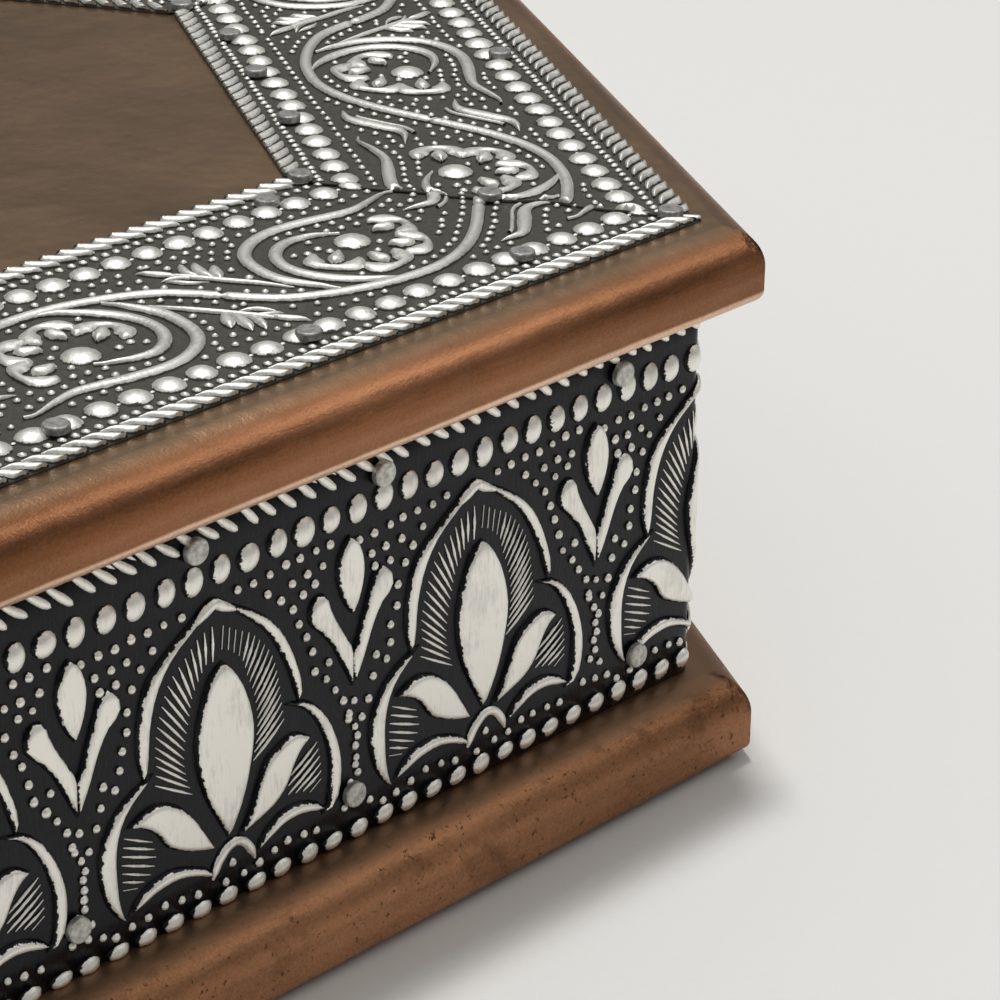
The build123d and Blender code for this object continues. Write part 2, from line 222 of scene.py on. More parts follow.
def hexagon_sheet(name, half_flat, low, high, cell):
    """A felt hexagon with a soft upper rim, its face slightly uneven."""
    rings = int(half_flat / cell)
    count = 6 * rings
    points, faces = [], []
    rng = np.random.default_rng(4)
    for ring in range(rings + 1):
        radius = half_flat * ring / rings
        for step in range(count):
            angle = 2 * math.pi * step / count
            local = (angle + math.pi / 6) % (math.pi / 3) - math.pi / 6
            turned = angle - math.pi / 2
            reach = radius / math.cos(local)
            wave = FELT_WAVE * MM * rng.uniform(-1, 1) if 0 < ring else 0
            drop = (high - low) * RIM_DROP if ring == rings else 0
            points.append((reach * math.cos(turned), reach * math.sin(turned), high - drop + wave))
    for ring in range(rings):
        for step in range(count):
            a, b = ring * count + step, ring * count + (step + 1) % count
            faces.append((a, a + count, b + count, b))
    mesh = bpy.data.meshes.new(name)
    mesh.from_pydata(points, [], faces)
    made = bpy.data.objects.new(name, mesh)
    bpy.context.scene.collection.objects.link(made)
    weld(made, 0.00001)
    solid = made.modifiers.new("thickness", "SOLIDIFY")
    solid.thickness = THICKNESS_SHARE * (high - low)
    solid.offset = -1.0
    for polygon in mesh.polygons:
        polygon.use_smooth = True
    mesh.materials.append(felt_material)
    return made


for name, node in (("underside_felt", "base_felt"), ("inside_felt", "floor_lining")):
    low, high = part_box(node)
    felt = hexagon_sheet(name, high.y, low.z, high.z - FELT_CLEARANCE * MM, FELT_CELL * MM)
    side = 2 * high.y / math.sqrt(3)
    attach(felt, "box")
    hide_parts(node)

# Wooden carcass
# A base board, a lid board and six mitred wall boards of softwood, stained dark. The walls stand on the
# base board and are nailed to it from below.
WOOD_DARK = (0.055, 0.024, 0.011)
WOOD_MIDDLE = (0.14, 0.068, 0.031)
WOOD_LIGHT = (0.22, 0.115, 0.055)
ACROSS_GRAIN = 14.0
SIDE_NAMES = ("front", "front_right", "back_right", "back", "back_left", "front_left")


def stained_wood(name, along_x, tint=1.0):
    """Stained softwood with its grain along X or along Y, darker where the tint is under 1."""
    made, tree, shader = material(name, roughness=0.5)
    where = object_space(tree)
    stretch = (1.0, ACROSS_GRAIN, ACROSS_GRAIN) if along_x else (ACROSS_GRAIN, 1.0, ACROSS_GRAIN)
    grain = noise(tree, where, 32.0, 8.0, 0.65, stretch)
    pores = noise(tree, where, 160.0, 4.0, 0.6, stretch)
    stops = [(place, tuple(tint * value for value in colour))
             for place, colour in ((0.32, WOOD_DARK), (0.5, WOOD_MIDDLE), (0.68, WOOD_LIGHT))]
    tree.links.new(ramp(tree, grain, stops), shader.inputs["Base Color"])
    tree.links.new(ramp(tree, pores, [(0.3, 0.42), (0.7, 0.62)]), shader.inputs["Roughness"])
    bump(tree, shader, pores, 0.35, 0.0003)
    return made


def dress(node, finish):
    """Gives a solid of the frame its finish."""
    mesh = nodes[node].data
    mesh.materials.clear()
    mesh.materials.append(finish)


board_wood = stained_wood("stained_wood_board", True)
for board in ("base_board", "lid_board"):
    dress(board, board_wood)
wall_wood = stained_wood("stained_wood_wall", True, 0.85)
turned_wall_wood = stained_wood("stained_wood_wall_turned", False, 0.92)
for name in SIDE_NAMES:
    dress(f"wall_{name}", wall_wood if name in ("front", "back") else turned_wall_wood)

# Copper
# Thin sheet, folded over the rounded edges of the lid and of the base and gathered at their corners. It was
# brushed once and has browned since, with dark specks and stains. Along its rounded edges lie bands of
# painted highlight and painted reflection.
# Painted shade in the creases at the corners.
CREASE_SHADE_COLOUR = (0.07, 0.035, 0.02)
# How much darker the copper is made towards the corners.
CORNER_DARKENING = (0.76, 0.73, 0.68)
# The lid's edge, by height in millimetres: a painted highlight along the hem, a painted dark reflection band
# above it, and plain metal on top.
HEM_PAINTED_HIGHLIGHT = (1.9, 2.9, 4.3)
LID_PAINTED_LIGHT = [(42.3, HEM_PAINTED_HIGHLIGHT), (43.2, HEM_PAINTED_HIGHLIGHT), (43.45, (0.7, 0.72, 0.76)), (44.5, (0.74, 0.78, 0.84)), (45.3, 0.57),
               (46.0, 0.54), (46.5, 0.66), (47.1, 0.95), (47.6, 1.0), (48.7, 1.0)]
# The base's edge, by height: painted light, brighter towards the bottom.
BASE_PAINTED_LIGHT = [(0.8, 1.2), (3.5, 1.15), (5.5, 1.0), (7.8, 0.96)]


def rescaled(tree, value, low, high, to_low=0.0, to_high=1.0):
    """A value carried from one range to another, and held inside the new one."""
    made = add(tree, "ShaderNodeMapRange", {"Value": value, "From Min": low, "From Max": high,
                                            "To Min": to_low, "To Max": to_high})
    return made.outputs[0]


def mixed_colours(tree, factor, first, second, blend="MIX"):
    """Two colours, each a socket or three numbers, mixed by the factor."""
    first, second = [(*colour, 1) if isinstance(colour, tuple) else colour for colour in (first, second)]
    made = add(tree, "ShaderNodeMix", {0: factor, 6: first, 7: second}, data_type="RGBA", blend_type=blend)
    return made.outputs[2]


def painted_light_colour(value):
    """What painted light leaves of red, green and blue: as given, or one share that takes most from the blue.
    """
    return value if isinstance(value, tuple) else (value, value ** 1.12, value ** 1.3)


def copper(name, worn, bare, dark, upward_patina_and_reflection, speck_share, stain_share, smoothness, painted_light):
    """Copper sheet. The painted light is given as pairs of a height in millimetres and the factor of painted
    light and shade there.
    """
    made, tree, shader = material(name, metallic=1.0, roughness=0.36)
    where = object_space(tree)
    clouds = noise(tree, where, 45.0, 4.0, 0.6)
    drawn = noise(tree, where, 260.0, 5.0, 0.65, (0.22, 0.22, 2.6))
    grain = noise(tree, where, 3800.0, 2.0, 0.85)
    slow = maths(tree, "MULTIPLY", maths(tree, "ADD", clouds, drawn), 0.3)
    mottled = maths(tree, "MULTIPLY_ADD", grain, 0.4, slow)
    colour = ramp(tree, mottled, [(0.40, worn), (0.60, bare)])
    specks = noise(tree, where, 1500.0, 3.0, 0.75)
    speck_mask = ramp(tree, specks, [(speck_share, 0.0), (speck_share + 0.06, 0.85)])
    stains = noise(tree, where, 120.0, 6.0, 0.75)
    stain_mask = ramp(tree, stains, [(stain_share, 0.0), (stain_share + 0.16, 0.6)])
    marks = maths(tree, "MAXIMUM", speck_mask, stain_mask)
    colour = mixed_colours(tree, marks, colour, dark)
    # Painted highlight and painted dark reflection lie in bands by height on the rounded edge, and the colour
    # is darker towards the corners.
    place = add(tree, "ShaderNodeSeparateXYZ", {0: where}).outputs
    low, high = painted_light[0][0], painted_light[-1][0]
    level = rescaled(tree, place["Z"], low * MM, high * MM)
    level = maths(tree, "MULTIPLY_ADD", maths(tree, "SUBTRACT", clouds, 0.5), 0.12, level)
    painted_bands = ramp(tree, level, [((z - low) / (high - low), painted_light_colour(value)) for z, value in painted_light])
    across = add(tree, "ShaderNodeVectorMath", {0: where, 1: (1, 1, 0)}, operation="MULTIPLY").outputs[0]
    reach = add(tree, "ShaderNodeVectorMath", {0: across}, operation="LENGTH").outputs["Value"]
    cornerness = rescaled(tree, reach, 0.077, 0.087)
    colour = mixed_colours(tree, 1.0, colour, painted_bands, "MULTIPLY")
    corner_darkening = ramp(tree, cornerness, [(0.0, 1.0), (1.0, CORNER_DARKENING)])
    colour = mixed_colours(tree, 1.0, colour, corner_darkening, "MULTIPLY")
    # Where it faces up the sheet is greyer: dull patina, and a painted stand-in for the grey reflection seen
    # there at a low angle.
    facing = add(tree, "ShaderNodeSeparateXYZ", {0: add(tree, "ShaderNodeTexCoord").outputs["Normal"]})
    colour = mixed_colours(tree, rescaled(tree, facing.outputs["Z"], 0.8, 1.0), colour, upward_patina_and_reflection)
    # The sheet was gathered at each corner, which left a crease over the rounded edge. Its shade is painted
    # in as a dark line, which also dents the sheet a little.
    aside = maths(tree, "PINGPONG", maths(tree, "ARCTAN2", place["Y"], place["X"]), math.pi / 6)
    aside = maths(tree, "MULTIPLY_ADD", noise(tree, where, 420.0, 4.0, 0.7), 0.04, aside)
    line = ramp(tree, aside, [(0.0195, 1.0), (0.0255, 0.0)])
    crease = maths(tree, "MULTIPLY", line, rescaled(tree, cornerness, 0.72, 0.86))
    upper = rescaled(tree, place["Z"], (high - 3.6) * MM, (high - 2.2) * MM)
    crease = maths(tree, "MULTIPLY", crease, upper)
    colour = mixed_colours(tree, crease, colour, CREASE_SHADE_COLOUR)
    tree.links.new(colour, shader.inputs["Base Color"])
    rough = rescaled(tree, drawn, 0.3, 0.7, smoothness, smoothness + 0.13)
    rough = maths(tree, "MULTIPLY_ADD", marks, 0.25, rough)
    tree.links.new(rough, shader.inputs["Roughness"])
    fine = bump(tree, shader, maths(tree, "ADD", grain, drawn), 0.3, 0.00012)
    deep = maths(tree, "MULTIPLY_ADD", crease, -0.3, clouds)
    dents = add(tree, "ShaderNodeBump", {"Height": deep, "Strength": 0.6, "Distance": 0.0012})
    tree.links.new(dents.outputs[0], fine.inputs["Normal"])
    return made


dress("lid_copper", copper(
    "browned_copper_lid", worn=(0.36, 0.158, 0.076), bare=(0.52, 0.235, 0.115), dark=(0.17, 0.08, 0.045),
    upward_patina_and_reflection=(0.32, 0.207, 0.122), speck_share=0.72, stain_share=0.66, smoothness=0.29,
    painted_light=LID_PAINTED_LIGHT))
dress("base_copper", copper(
    "browned_copper_base", worn=(0.29, 0.138, 0.068), bare=(0.45, 0.218, 0.11), dark=(0.11, 0.058, 0.03),
    upward_patina_and_reflection=(0.33, 0.2, 0.12), speck_share=0.61, stain_share=0.52, smoothness=0.4,
    painted_light=BASE_PAINTED_LIGHT))

# Side strip
# One strip of embossed white metal around the six walls, its ends meeting at the back. It was pressed from
# behind, so that palmettes and sprigs stand up between rows of beads, then painted black and wiped.
STRIP_LOW, STRIP_HIGH = [corner.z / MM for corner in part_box("side_strip")]
STRIP_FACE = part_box("side_strip")[1].y / MM
BEND_RADIUS = 1.5
SHEET_RISE = 0.22
FACE_RISE = 0.5
STRAIGHT = 2 * (STRIP_FACE - BEND_RADIUS) * math.tan(math.pi / 6)
SIDE_RUN = STRAIGHT + BEND_RADIUS * math.pi / 3
STRIP_END = 3 * SIDE_RUN - 0.05
STRIP_WANDER = 0.68
PALMETTES_PER_SIDE = 3
PALMETTE_PITCH = SIDE_RUN / PALMETTES_PER_SIDE
PALMETTE_SHIFT = 14.7
BEADS_PER_PALMETTE = 10
UPPER_BEADS, LOWER_BEADS = 28.75, 0.95
ROPE_STROKES = 14
DOT_SIZE = 0.42
RAY_WIDTH = 0.26
# How clean the sheet is between the ornament, where 1 is bare metal.
UNWIPED = -0.4
# Where the walls' corner crosses the palmette that lies on it.
BEND_START, BEND_END = -1.7, -0.1


def smooth_line(points, step=0.45):
    """A smooth line through the given points, in even short steps."""
    p = np.array(points, float)
    if len(p) == 2:
        count = max(2, int(np.linalg.norm(p[1] - p[0]) / step) + 1)
        return p[0] + (p[1] - p[0]) * np.linspace(0, 1, count)[:, None]
    ends = np.vstack([2 * p[0] - p[1], p, 2 * p[-1] - p[-2]])
    parts = []
    for a, b, c, d in zip(ends, ends[1:], ends[2:], ends[3:]):
        count = max(2, int(np.ceil(np.linalg.norm(c - b) / step)))
        t = np.linspace(0, 1, count, endpoint=False)[:, None]
        parts.append(0.5 * (2 * b + (c - a) * t + (2 * a - 5 * b + 4 * c - d) * t ** 2
                            + (3 * b - a - 3 * c + d) * t ** 3))
    parts.append(p[-1:])
    return np.vstack(parts)


def spread(line, count, fineness=0.2):
    """Places evenly spaced along a smooth line."""
    fine = smooth_line(line, fineness)
    run = np.concatenate([[0], np.cumsum(np.linalg.norm(np.diff(fine, axis=0), axis=1))])
    places = np.linspace(0, run[-1], count)
    return np.stack([np.interp(places, run, fine[:, 0]), np.interp(places, run, fine[:, 1])], axis=1)


def ridge(points, width, rise, taper=(0.2, 0.2), step=0.45):
    """A raised line of even width whose ends taper over the given shares of its length."""
    line = smooth_line(points, step)
    t = np.linspace(0, 1, len(line))
    start = np.clip(t / taper[0], 0, 1)
    end = np.clip((1 - t) / taper[1], 0, 1)
    half = width / 2 * np.clip(np.minimum(start, end), 0.12, 1) ** 0.7
    return line, half, rise


def leaf(points, width, rise, fullest=0.5, step=0.45, blunt=0.85):
    """A raised leaf around a middle line, pointed at both ends and widest at the given share."""
    line = smooth_line(points, step)
    t = np.linspace(0, 1, len(line)) ** (math.log(0.5) / math.log(fullest))
    half = width / 2 * np.clip(np.sin(math.pi * t), 0.02, 1) ** blunt
    return line, half, rise


def start_tree(name, carrier, sizes):
    """A geometry tree with named inputs: what carries the relief, its sizes and its finish."""
    tree = bpy.data.node_groups.new(name, "GeometryNodeTree")
    sockets = [(carrier, "NodeSocketGeometry", None), *sizes, ("Finish", "NodeSocketMaterial", None)]
    for label, kind, value in sockets:
        socket = tree.interface.new_socket(label, in_out="INPUT", socket_type=kind)
        if value is not None:
            socket.default_value = value
    tree.interface.new_socket("Relief", in_out="OUTPUT", socket_type="NodeSocketGeometry")
    return tree, add(tree, "NodeGroupInput").outputs


def carried(tree, name, kind="FLOAT"):
    """What the points of the mesh carry under the given name."""
    return add(tree, "GeometryNodeInputNamedAttribute", {"Name": name}, data_type=kind).outputs[0]


def with_polish(tree, geometry, value):
    """The geometry with how clean it was wiped stored on its points."""
    made = add(tree, "GeometryNodeStoreNamedAttribute",
               {"Geometry": geometry, "Name": "polish", "Value": value}, data_type="FLOAT")
    return made.outputs[0]


def moved_to(tree, geometry, x, y, z):
    """The geometry with its points at the given places."""
    place = add(tree, "ShaderNodeCombineXYZ", {"X": x, "Y": y, "Z": z}).outputs[0]
    return add(tree, "GeometryNodeSetPosition", {"Geometry": geometry, "Position": place}).outputs[0]


def end_tree(tree, relief, finish):
    """Makes the relief real and smooth, gives it its finish and hands it out."""
    real = add(tree, "GeometryNodeRealizeInstances", {"Geometry": relief})
    smooth = add(tree, "GeometryNodeSetShadeSmooth", {"Geometry": real.outputs[0]})
    finished = add(tree, "GeometryNodeSetMaterial", {"Geometry": smooth.outputs[0], "Material": finish})
    add(tree, "NodeGroupOutput", {0: finished.outputs[0]})
    return tree


def raised_line_tree():
    """Sweeps a half-round section along every line of points, with the width and rise stored on them."""
    tree, given = start_tree("raised_lines", "Lines", [("Section points", "NodeSocketInt", 9),
                                                       ("Flatness", "NodeSocketFloat", 0.6)])
    half = carried(tree, "half_width")
    curve = add(tree, "GeometryNodeMeshToCurve", {"Mesh": given["Lines"]})
    upright = add(tree, "GeometryNodeSetCurveNormal", {"Curve": curve.outputs[0]}, mode="Z_UP")
    section = add(tree, "GeometryNodeCurveArc", {"Resolution": given["Section points"], "Radius": 1.0,
                                                 "Start Angle": 0.0, "Sweep Angle": math.pi})
    swept = add(tree, "GeometryNodeCurveToMesh", {"Curve": upright.outputs[0], "Scale": half,
                                                  "Profile Curve": section.outputs[0]})
    place = add(tree, "ShaderNodeSeparateXYZ", {0: add(tree, "GeometryNodeInputPosition").outputs[0]}).outputs
    share = maths(tree, "DIVIDE", maths(tree, "ABSOLUTE", place["Z"]), half, use_clamp=True)
    height = maths(tree, "MULTIPLY", maths(tree, "POWER", share, given["Flatness"]), carried(tree, "rise"))
    wiped = with_polish(tree, swept.outputs[0], maths(tree, "POWER", share, 0.6))
    return end_tree(tree, moved_to(tree, wiped, place["X"], place["Y"], height), given["Finish"])


def raised_bead_tree():
    """Sets a low dome on every point, with the half sizes and the turn stored on the points."""
    tree, given = start_tree("raised_beads", "Points", [("Segments", "NodeSocketInt", 12),
                                                        ("Rings", "NodeSocketInt", 6),
                                                        ("Lean", "NodeSocketFloat", 0.0)])
    ball = add(tree, "GeometryNodeMeshUVSphere", {"Segments": given["Segments"], "Rings": given["Rings"],
                                                  "Radius": 1.0})
    place = add(tree, "ShaderNodeSeparateXYZ", {0: add(tree, "GeometryNodeInputPosition").outputs[0]}).outputs
    below = add(tree, "FunctionNodeCompare", {"A": place["Z"], "B": -0.01}, operation="LESS_THAN",
                data_type="FLOAT")
    dome = add(tree, "GeometryNodeDeleteGeometry", {"Geometry": ball.outputs[0],
                                                    "Selection": below.outputs[0]})
    # Lean tilts the polish across each dome: higher towards +X, lower towards -X, so one side shows darker.
    polish = maths(tree, "MULTIPLY_ADD", place["X"], given["Lean"], maths(tree, "POWER", place["Z"], 0.7))
    dome = with_polish(tree, dome.outputs[0], polish)
    dome = moved_to(tree, dome, place["X"], place["Y"], maths(tree, "POWER", place["Z"], 1.35))
    angle = add(tree, "ShaderNodeCombineXYZ", {"Z": carried(tree, "turn")})
    rotation = add(tree, "FunctionNodeEulerToRotation", {0: angle.outputs[0]})
    placed = add(tree, "GeometryNodeInstanceOnPoints", {"Points": given["Points"], "Instance": dome,
                                                        "Rotation": rotation.outputs[0],
                                                        "Scale": carried(tree, "half_size", "FLOAT_VECTOR")})
    return end_tree(tree, placed.outputs[0], given["Finish"])


line_tree = raised_line_tree()
bead_tree = raised_bead_tree()


def grown(mesh, tree, **inputs):
    """The points, faces and polish that a geometry tree makes from a mesh of points or lines."""
    made = bpy.data.objects.new("growing", mesh)
    bpy.context.scene.collection.objects.link(made)
    modifier = made.modifiers.new("growth", "NODES")
    modifier.node_group = tree
    for item in tree.interface.items_tree:
        if item.in_out == "INPUT" and item.name in inputs:
            modifier[item.identifier] = inputs[item.name]
    graph = bpy.context.evaluated_depsgraph_get()
    result = bpy.data.meshes.new_from_object(made.evaluated_get(graph), depsgraph=graph)
    bpy.data.objects.remove(made)
    points = np.empty(len(result.vertices) * 3)
    result.vertices.foreach_get("co", points)
    polish = np.empty(len(result.vertices), np.float32)
    result.attributes["polish"].data.foreach_get("value", polish)
    return points.reshape(-1, 3), [tuple(polygon.vertices) for polygon in result.polygons], polish


def line_relief(lines, finish, section_points=9, flatness=0.6):
    """Relief from lines: each is its points, its half widths and its rise."""
    mesh = bpy.data.meshes.new("lines")
    points, edges, half, rise = [], [], [], []
    for line, widths, height in lines:
        first = len(points)
        points += [(x, y, 0) for x, y in line]
        edges += [(first + i, first + i + 1) for i in range(len(line) - 1)]
        half += list(np.maximum(widths, 0.02))
        rise += list(height * np.clip(np.asarray(widths) / 0.3, 0, 1) ** 0.5)
    mesh.from_pydata(points, edges, [])
    mesh.attributes.new("half_width", "FLOAT", "POINT").data.foreach_set("value", half)
    mesh.attributes.new("rise", "FLOAT", "POINT").data.foreach_set("value", rise)
    sizes = {"Section points": section_points, "Flatness": flatness}
    return grown(mesh, line_tree, Finish=finish, **sizes)


def bead_relief(beads, finish, segments=12, rings=6, lean=0.0):
    """Domes from beads: each is its place, its half sizes along and across, its rise and its turn."""
    mesh = bpy.data.meshes.new("beads")
    mesh.from_pydata([(x, y, 0) for x, y, *_ in beads], [], [])
    sizes = [value for bead in beads for value in bead[2:5]]
    turns = [bead[5] for bead in beads]
    mesh.attributes.new("half_size", "FLOAT_VECTOR", "POINT").data.foreach_set("vector", sizes)
    mesh.attributes.new("turn", "FLOAT", "POINT").data.foreach_set("value", turns)
    return grown(mesh, bead_tree, Segments=segments, Rings=rings, Lean=lean, Finish=finish)


def embossed_piece(name, flats, place, finish):
    """One object from flat reliefs: place takes (along, across, rise) points to where they lie."""
    all_points, all_faces, relief = [], [], []
    first = 0
    for points, faces, polish in flats:
        all_points.append(place(points))
        relief.append(polish)
        all_faces += [tuple(index + first for index in face) for face in faces]
        first += len(points)
    mesh = bpy.data.meshes.new(name)
    mesh.from_pydata(np.vstack(all_points) * MM, [], all_faces)
    values = np.concatenate(relief).astype(np.float32)
    mesh.attributes.new("polish", "FLOAT", "POINT").data.foreach_set("value", values)
    mesh.materials.append(finish)
    made = bpy.data.objects.new(name, mesh)
    bpy.context.scene.collection.objects.link(made)
    weld(made, 0.000001)
    for polygon in made.data.polygons:
        polygon.use_smooth = True
    return made


def sheet_grid(along_values, across_values, skirt):
    """The flat sheet as a grid with its rim turned down by the skirt: points, faces and polish."""
    along_values = np.concatenate([along_values[:1], along_values, along_values[-1:]])
    across_values = np.concatenate([across_values[:1], across_values, across_values[-1:]])
    columns, rows = len(along_values), len(across_values)
    points = np.zeros((columns, rows, 3))
    points[..., 0] = along_values[:, None]
    points[..., 1] = across_values[None, :]
    points[[0, -1], :, 2] = -skirt
    points[:, [0, -1], 2] = -skirt
    faces = []
    for i in range(columns - 1):
        for j in range(rows - 1):
            a = i * rows + j
            faces.append((a, a + rows, a + rows + 1, a + 1))
    return points.reshape(-1, 3), faces, np.full(columns * rows, UNWIPED, np.float32)


def embossed_metal(name, ground, silver, cut, ragged, ground_metallic, ground_rough, rag_scale, scratch_scale,
                   scratch_stretch, gloss):
    """White metal with its hollows left dark: the relief's height, made ragged by noise, sets which shows."""
    made, tree, shader = material(name, metallic=1.0, roughness=0.3, Specular_IOR_Level=gloss)
    where = object_space(tree)
    relief = add(tree, "ShaderNodeAttribute", attribute_name="polish").outputs["Fac"]
    rag = noise(tree, where, rag_scale, 3.0, 0.75)
    streak = noise(tree, where, 0.45 * rag_scale, 2.0, 0.6)
    stray = maths(tree, "SUBTRACT", maths(tree, "ADD", rag, streak), 1.0)
    level = maths(tree, "MULTIPLY_ADD", stray, ragged, relief)
    bare = rescaled(tree, level, cut - 0.025, cut + 0.025)
    dull = noise(tree, where, 240.0, 4.0, 0.6)
    scratches = noise(tree, where, scratch_scale, 3.0, 0.7, scratch_stretch)
    silver_dark = tuple(0.7 * value for value in silver)
    clean = ramp(tree, maths(tree, "MULTIPLY", dull, scratches), [(0.08, silver_dark), (0.24, silver)])
    ground_dark = tuple(0.5 * value for value in ground)
    hollow = ramp(tree, rag, [(0.3, ground_dark), (0.7, ground)])
    tree.links.new(mixed_colours(tree, bare, hollow, clean), shader.inputs["Base Color"])
    tree.links.new(rescaled(tree, bare, 0.0, 1.0, ground_metallic, 0.95), shader.inputs["Metallic"])
    rough = rescaled(tree, bare, 0.0, 1.0, ground_rough, 0.4)
    tree.links.new(maths(tree, "MULTIPLY_ADD", scratches, 0.18, rough), shader.inputs["Roughness"])
    bump(tree, shader, maths(tree, "ADD", scratches, rag), 0.25, 0.00012)
    return made


side_metal = embossed_metal(
    "wiped_side_strip", ground=(0.004, 0.005, 0.008), silver=(1.0, 0.975, 0.91), cut=0.36, ragged=0.65,
    ground_metallic=0.0, ground_rough=0.2, rag_scale=3000.0, scratch_scale=1500.0,
    scratch_stretch=(2.0, 2.0, 0.35), gloss=0.22)


def between(edge_a, edge_b, rise, count=17, splits=1, shoulder=0.34):
    """A raised shape between two edges that meet at both tips: flat on top, with rounded shoulders."""
    a, b = spread(edge_a, count, 0.3), spread(edge_b, count, 0.3)
    width = np.maximum(np.linalg.norm(a - b, axis=1), 0.02)
    steps = [0.0, 0.4, 1.0, 1.8]
    shares = [np.minimum(step * shoulder / width, 0.16 * index) for index, step in enumerate(steps)]
    shares += [np.full(count, 0.5)] + [1 - share for share in shares[::-1]]
    shares = np.stack(shares, axis=1)
    marks = np.linspace(0, shares.shape[1] - 1, (shares.shape[1] - 1) * splits + 1)
    shares = np.stack([np.interp(marks, np.arange(len(row)), row) for row in shares])
    depth = np.minimum(shares, 1 - shares) * width[:, None] / shoulder
    lift = np.clip(depth, 0, 1) ** 0.6
    lift *= 1 - 0.12 * np.clip(1 - depth / 4, 0, 1)
    across = shares.shape[1]
    points = np.empty((count, across, 3))
    points[..., :2] = a[:, None, :] + shares[..., None] * (b - a)[:, None, :]
    points[..., 2] = rise * lift
    faces = []
    area = np.sum((b - a)[:, 0] * np.gradient(a[:, 1]) - (b - a)[:, 1] * np.gradient(a[:, 0]))
    for i in range(count - 1):
        for j in range(across - 1):
            corner = i * across + j
            face = (corner, corner + across, corner + across + 1, corner + 1)
            faces.append(face if area < 0 else face[::-1])
    return points.reshape(-1, 3), faces, np.clip(0.62 * depth, 0, 1).reshape(-1).astype(np.float32)


# Places here are measured from the palmette's point, sideways, and from the strip's lower edge. The shapes
# are given by their two edges, from tip to tip.
PALMETTE_BANDS = [
    ([(0.1, 26.4), (2.0, 25.6), (3.8, 24.5), (5.5, 23.2), (6.9, 21.5), (7.9, 19.5), (8.6, 17.5),
      (8.9, 16.0), (8.5, 14.7)],
     [(0.1, 26.4), (1.9, 25.0), (3.4, 23.8), (4.7, 22.6), (5.7, 21.3), (6.6, 19.7), (7.4, 18.0),
      (7.9, 16.4), (8.5, 14.7)]),
    ([(0.2, 26.4), (-1.8, 25.7), (-3.6, 24.6), (-5.5, 23.3), (-6.8, 21.9), (-7.4, 20.0), (-7.7, 18.0),
      (-7.7, 16.0), (-7.1, 14.1)],
     [(0.2, 26.4), (-1.9, 24.8), (-3.4, 23.8), (-4.7, 22.5), (-5.7, 20.7), (-6.3, 18.5), (-6.5, 16.3),
      (-6.7, 15.0), (-7.1, 14.1)]),
    ([(6.9, 15.1), (9.0, 14.8), (10.5, 13.7), (11.7, 12.0), (12.5, 10.0), (12.9, 8.0), (12.8, 6.0),
      (12.2, 4.4), (10.8, 3.9)],
     [(6.9, 15.1), (8.8, 14.1), (9.8, 13.0), (10.6, 11.7), (11.2, 10.2), (11.6, 8.4), (11.6, 6.4),
      (11.4, 4.8), (10.8, 3.9)]),
    ([(-6.0, 14.6), (-7.6, 14.2), (-9.5, 13.1), (-10.8, 11.6), (-11.6, 9.6), (-11.6, 7.6), (-11.1, 5.6),
      (-10.0, 3.8), (-9.0, 3.1)],
     [(-6.0, 14.6), (-7.4, 13.6), (-8.7, 12.5), (-9.5, 11.1), (-9.9, 9.4), (-9.9, 7.4), (-9.8, 5.8),
      (-9.5, 4.3), (-9.0, 3.1)]),
    ([(-9.0, 3.6), (-8.0, 4.8), (-6.6, 5.6), (-4.6, 5.8), (-2.6, 5.2), (-1.1, 4.4), (-0.4, 3.4)],
     [(-9.0, 3.6), (-7.6, 4.0), (-6.0, 4.5), (-4.0, 4.6), (-2.4, 4.1), (-1.3, 3.6), (-0.4, 3.4)]),
    ([(3.6, 3.5), (4.9, 5.1), (6.6, 6.0), (8.4, 6.1), (10.2, 5.4), (11.3, 4.3)],
     [(3.6, 3.5), (5.3, 4.3), (6.9, 4.9), (8.6, 4.9), (10.0, 4.5), (11.3, 4.3)])]
PALMETTE_PETALS = [
    ([(0.9, 21.3), (-0.6, 20.1), (-1.5, 17.9), (-2.0, 15.5), (-1.9, 13.0), (-1.2, 10.5), (-0.1, 8.2),
      (1.05, 6.1)],
     [(0.9, 21.3), (2.0, 20.1), (3.0, 18.3), (3.7, 16.0), (3.85, 14.0), (3.4, 11.5), (2.6, 9.0),
      (1.05, 6.1)]),
    ([(-8.8, 11.0), (-7.2, 11.8), (-5.6, 11.9), (-4.0, 11.1), (-2.6, 9.7), (-1.4, 7.8), (-0.2, 5.7)],
     [(-8.8, 11.0), (-7.2, 10.3), (-6.0, 9.3), (-5.0, 7.8), (-3.6, 6.9), (-2.0, 6.2), (-0.2, 5.7)]),
    ([(2.1, 5.8), (3.2, 7.4), (4.0, 9.2), (4.9, 11.0), (6.2, 11.9), (8.0, 12.4), (9.7, 11.4)],
     [(2.1, 5.8), (4.0, 6.4), (5.8, 7.1), (7.0, 8.2), (7.7, 9.6), (8.5, 10.7), (9.7, 11.4)])]
SPRIG_AXIS = 14.1
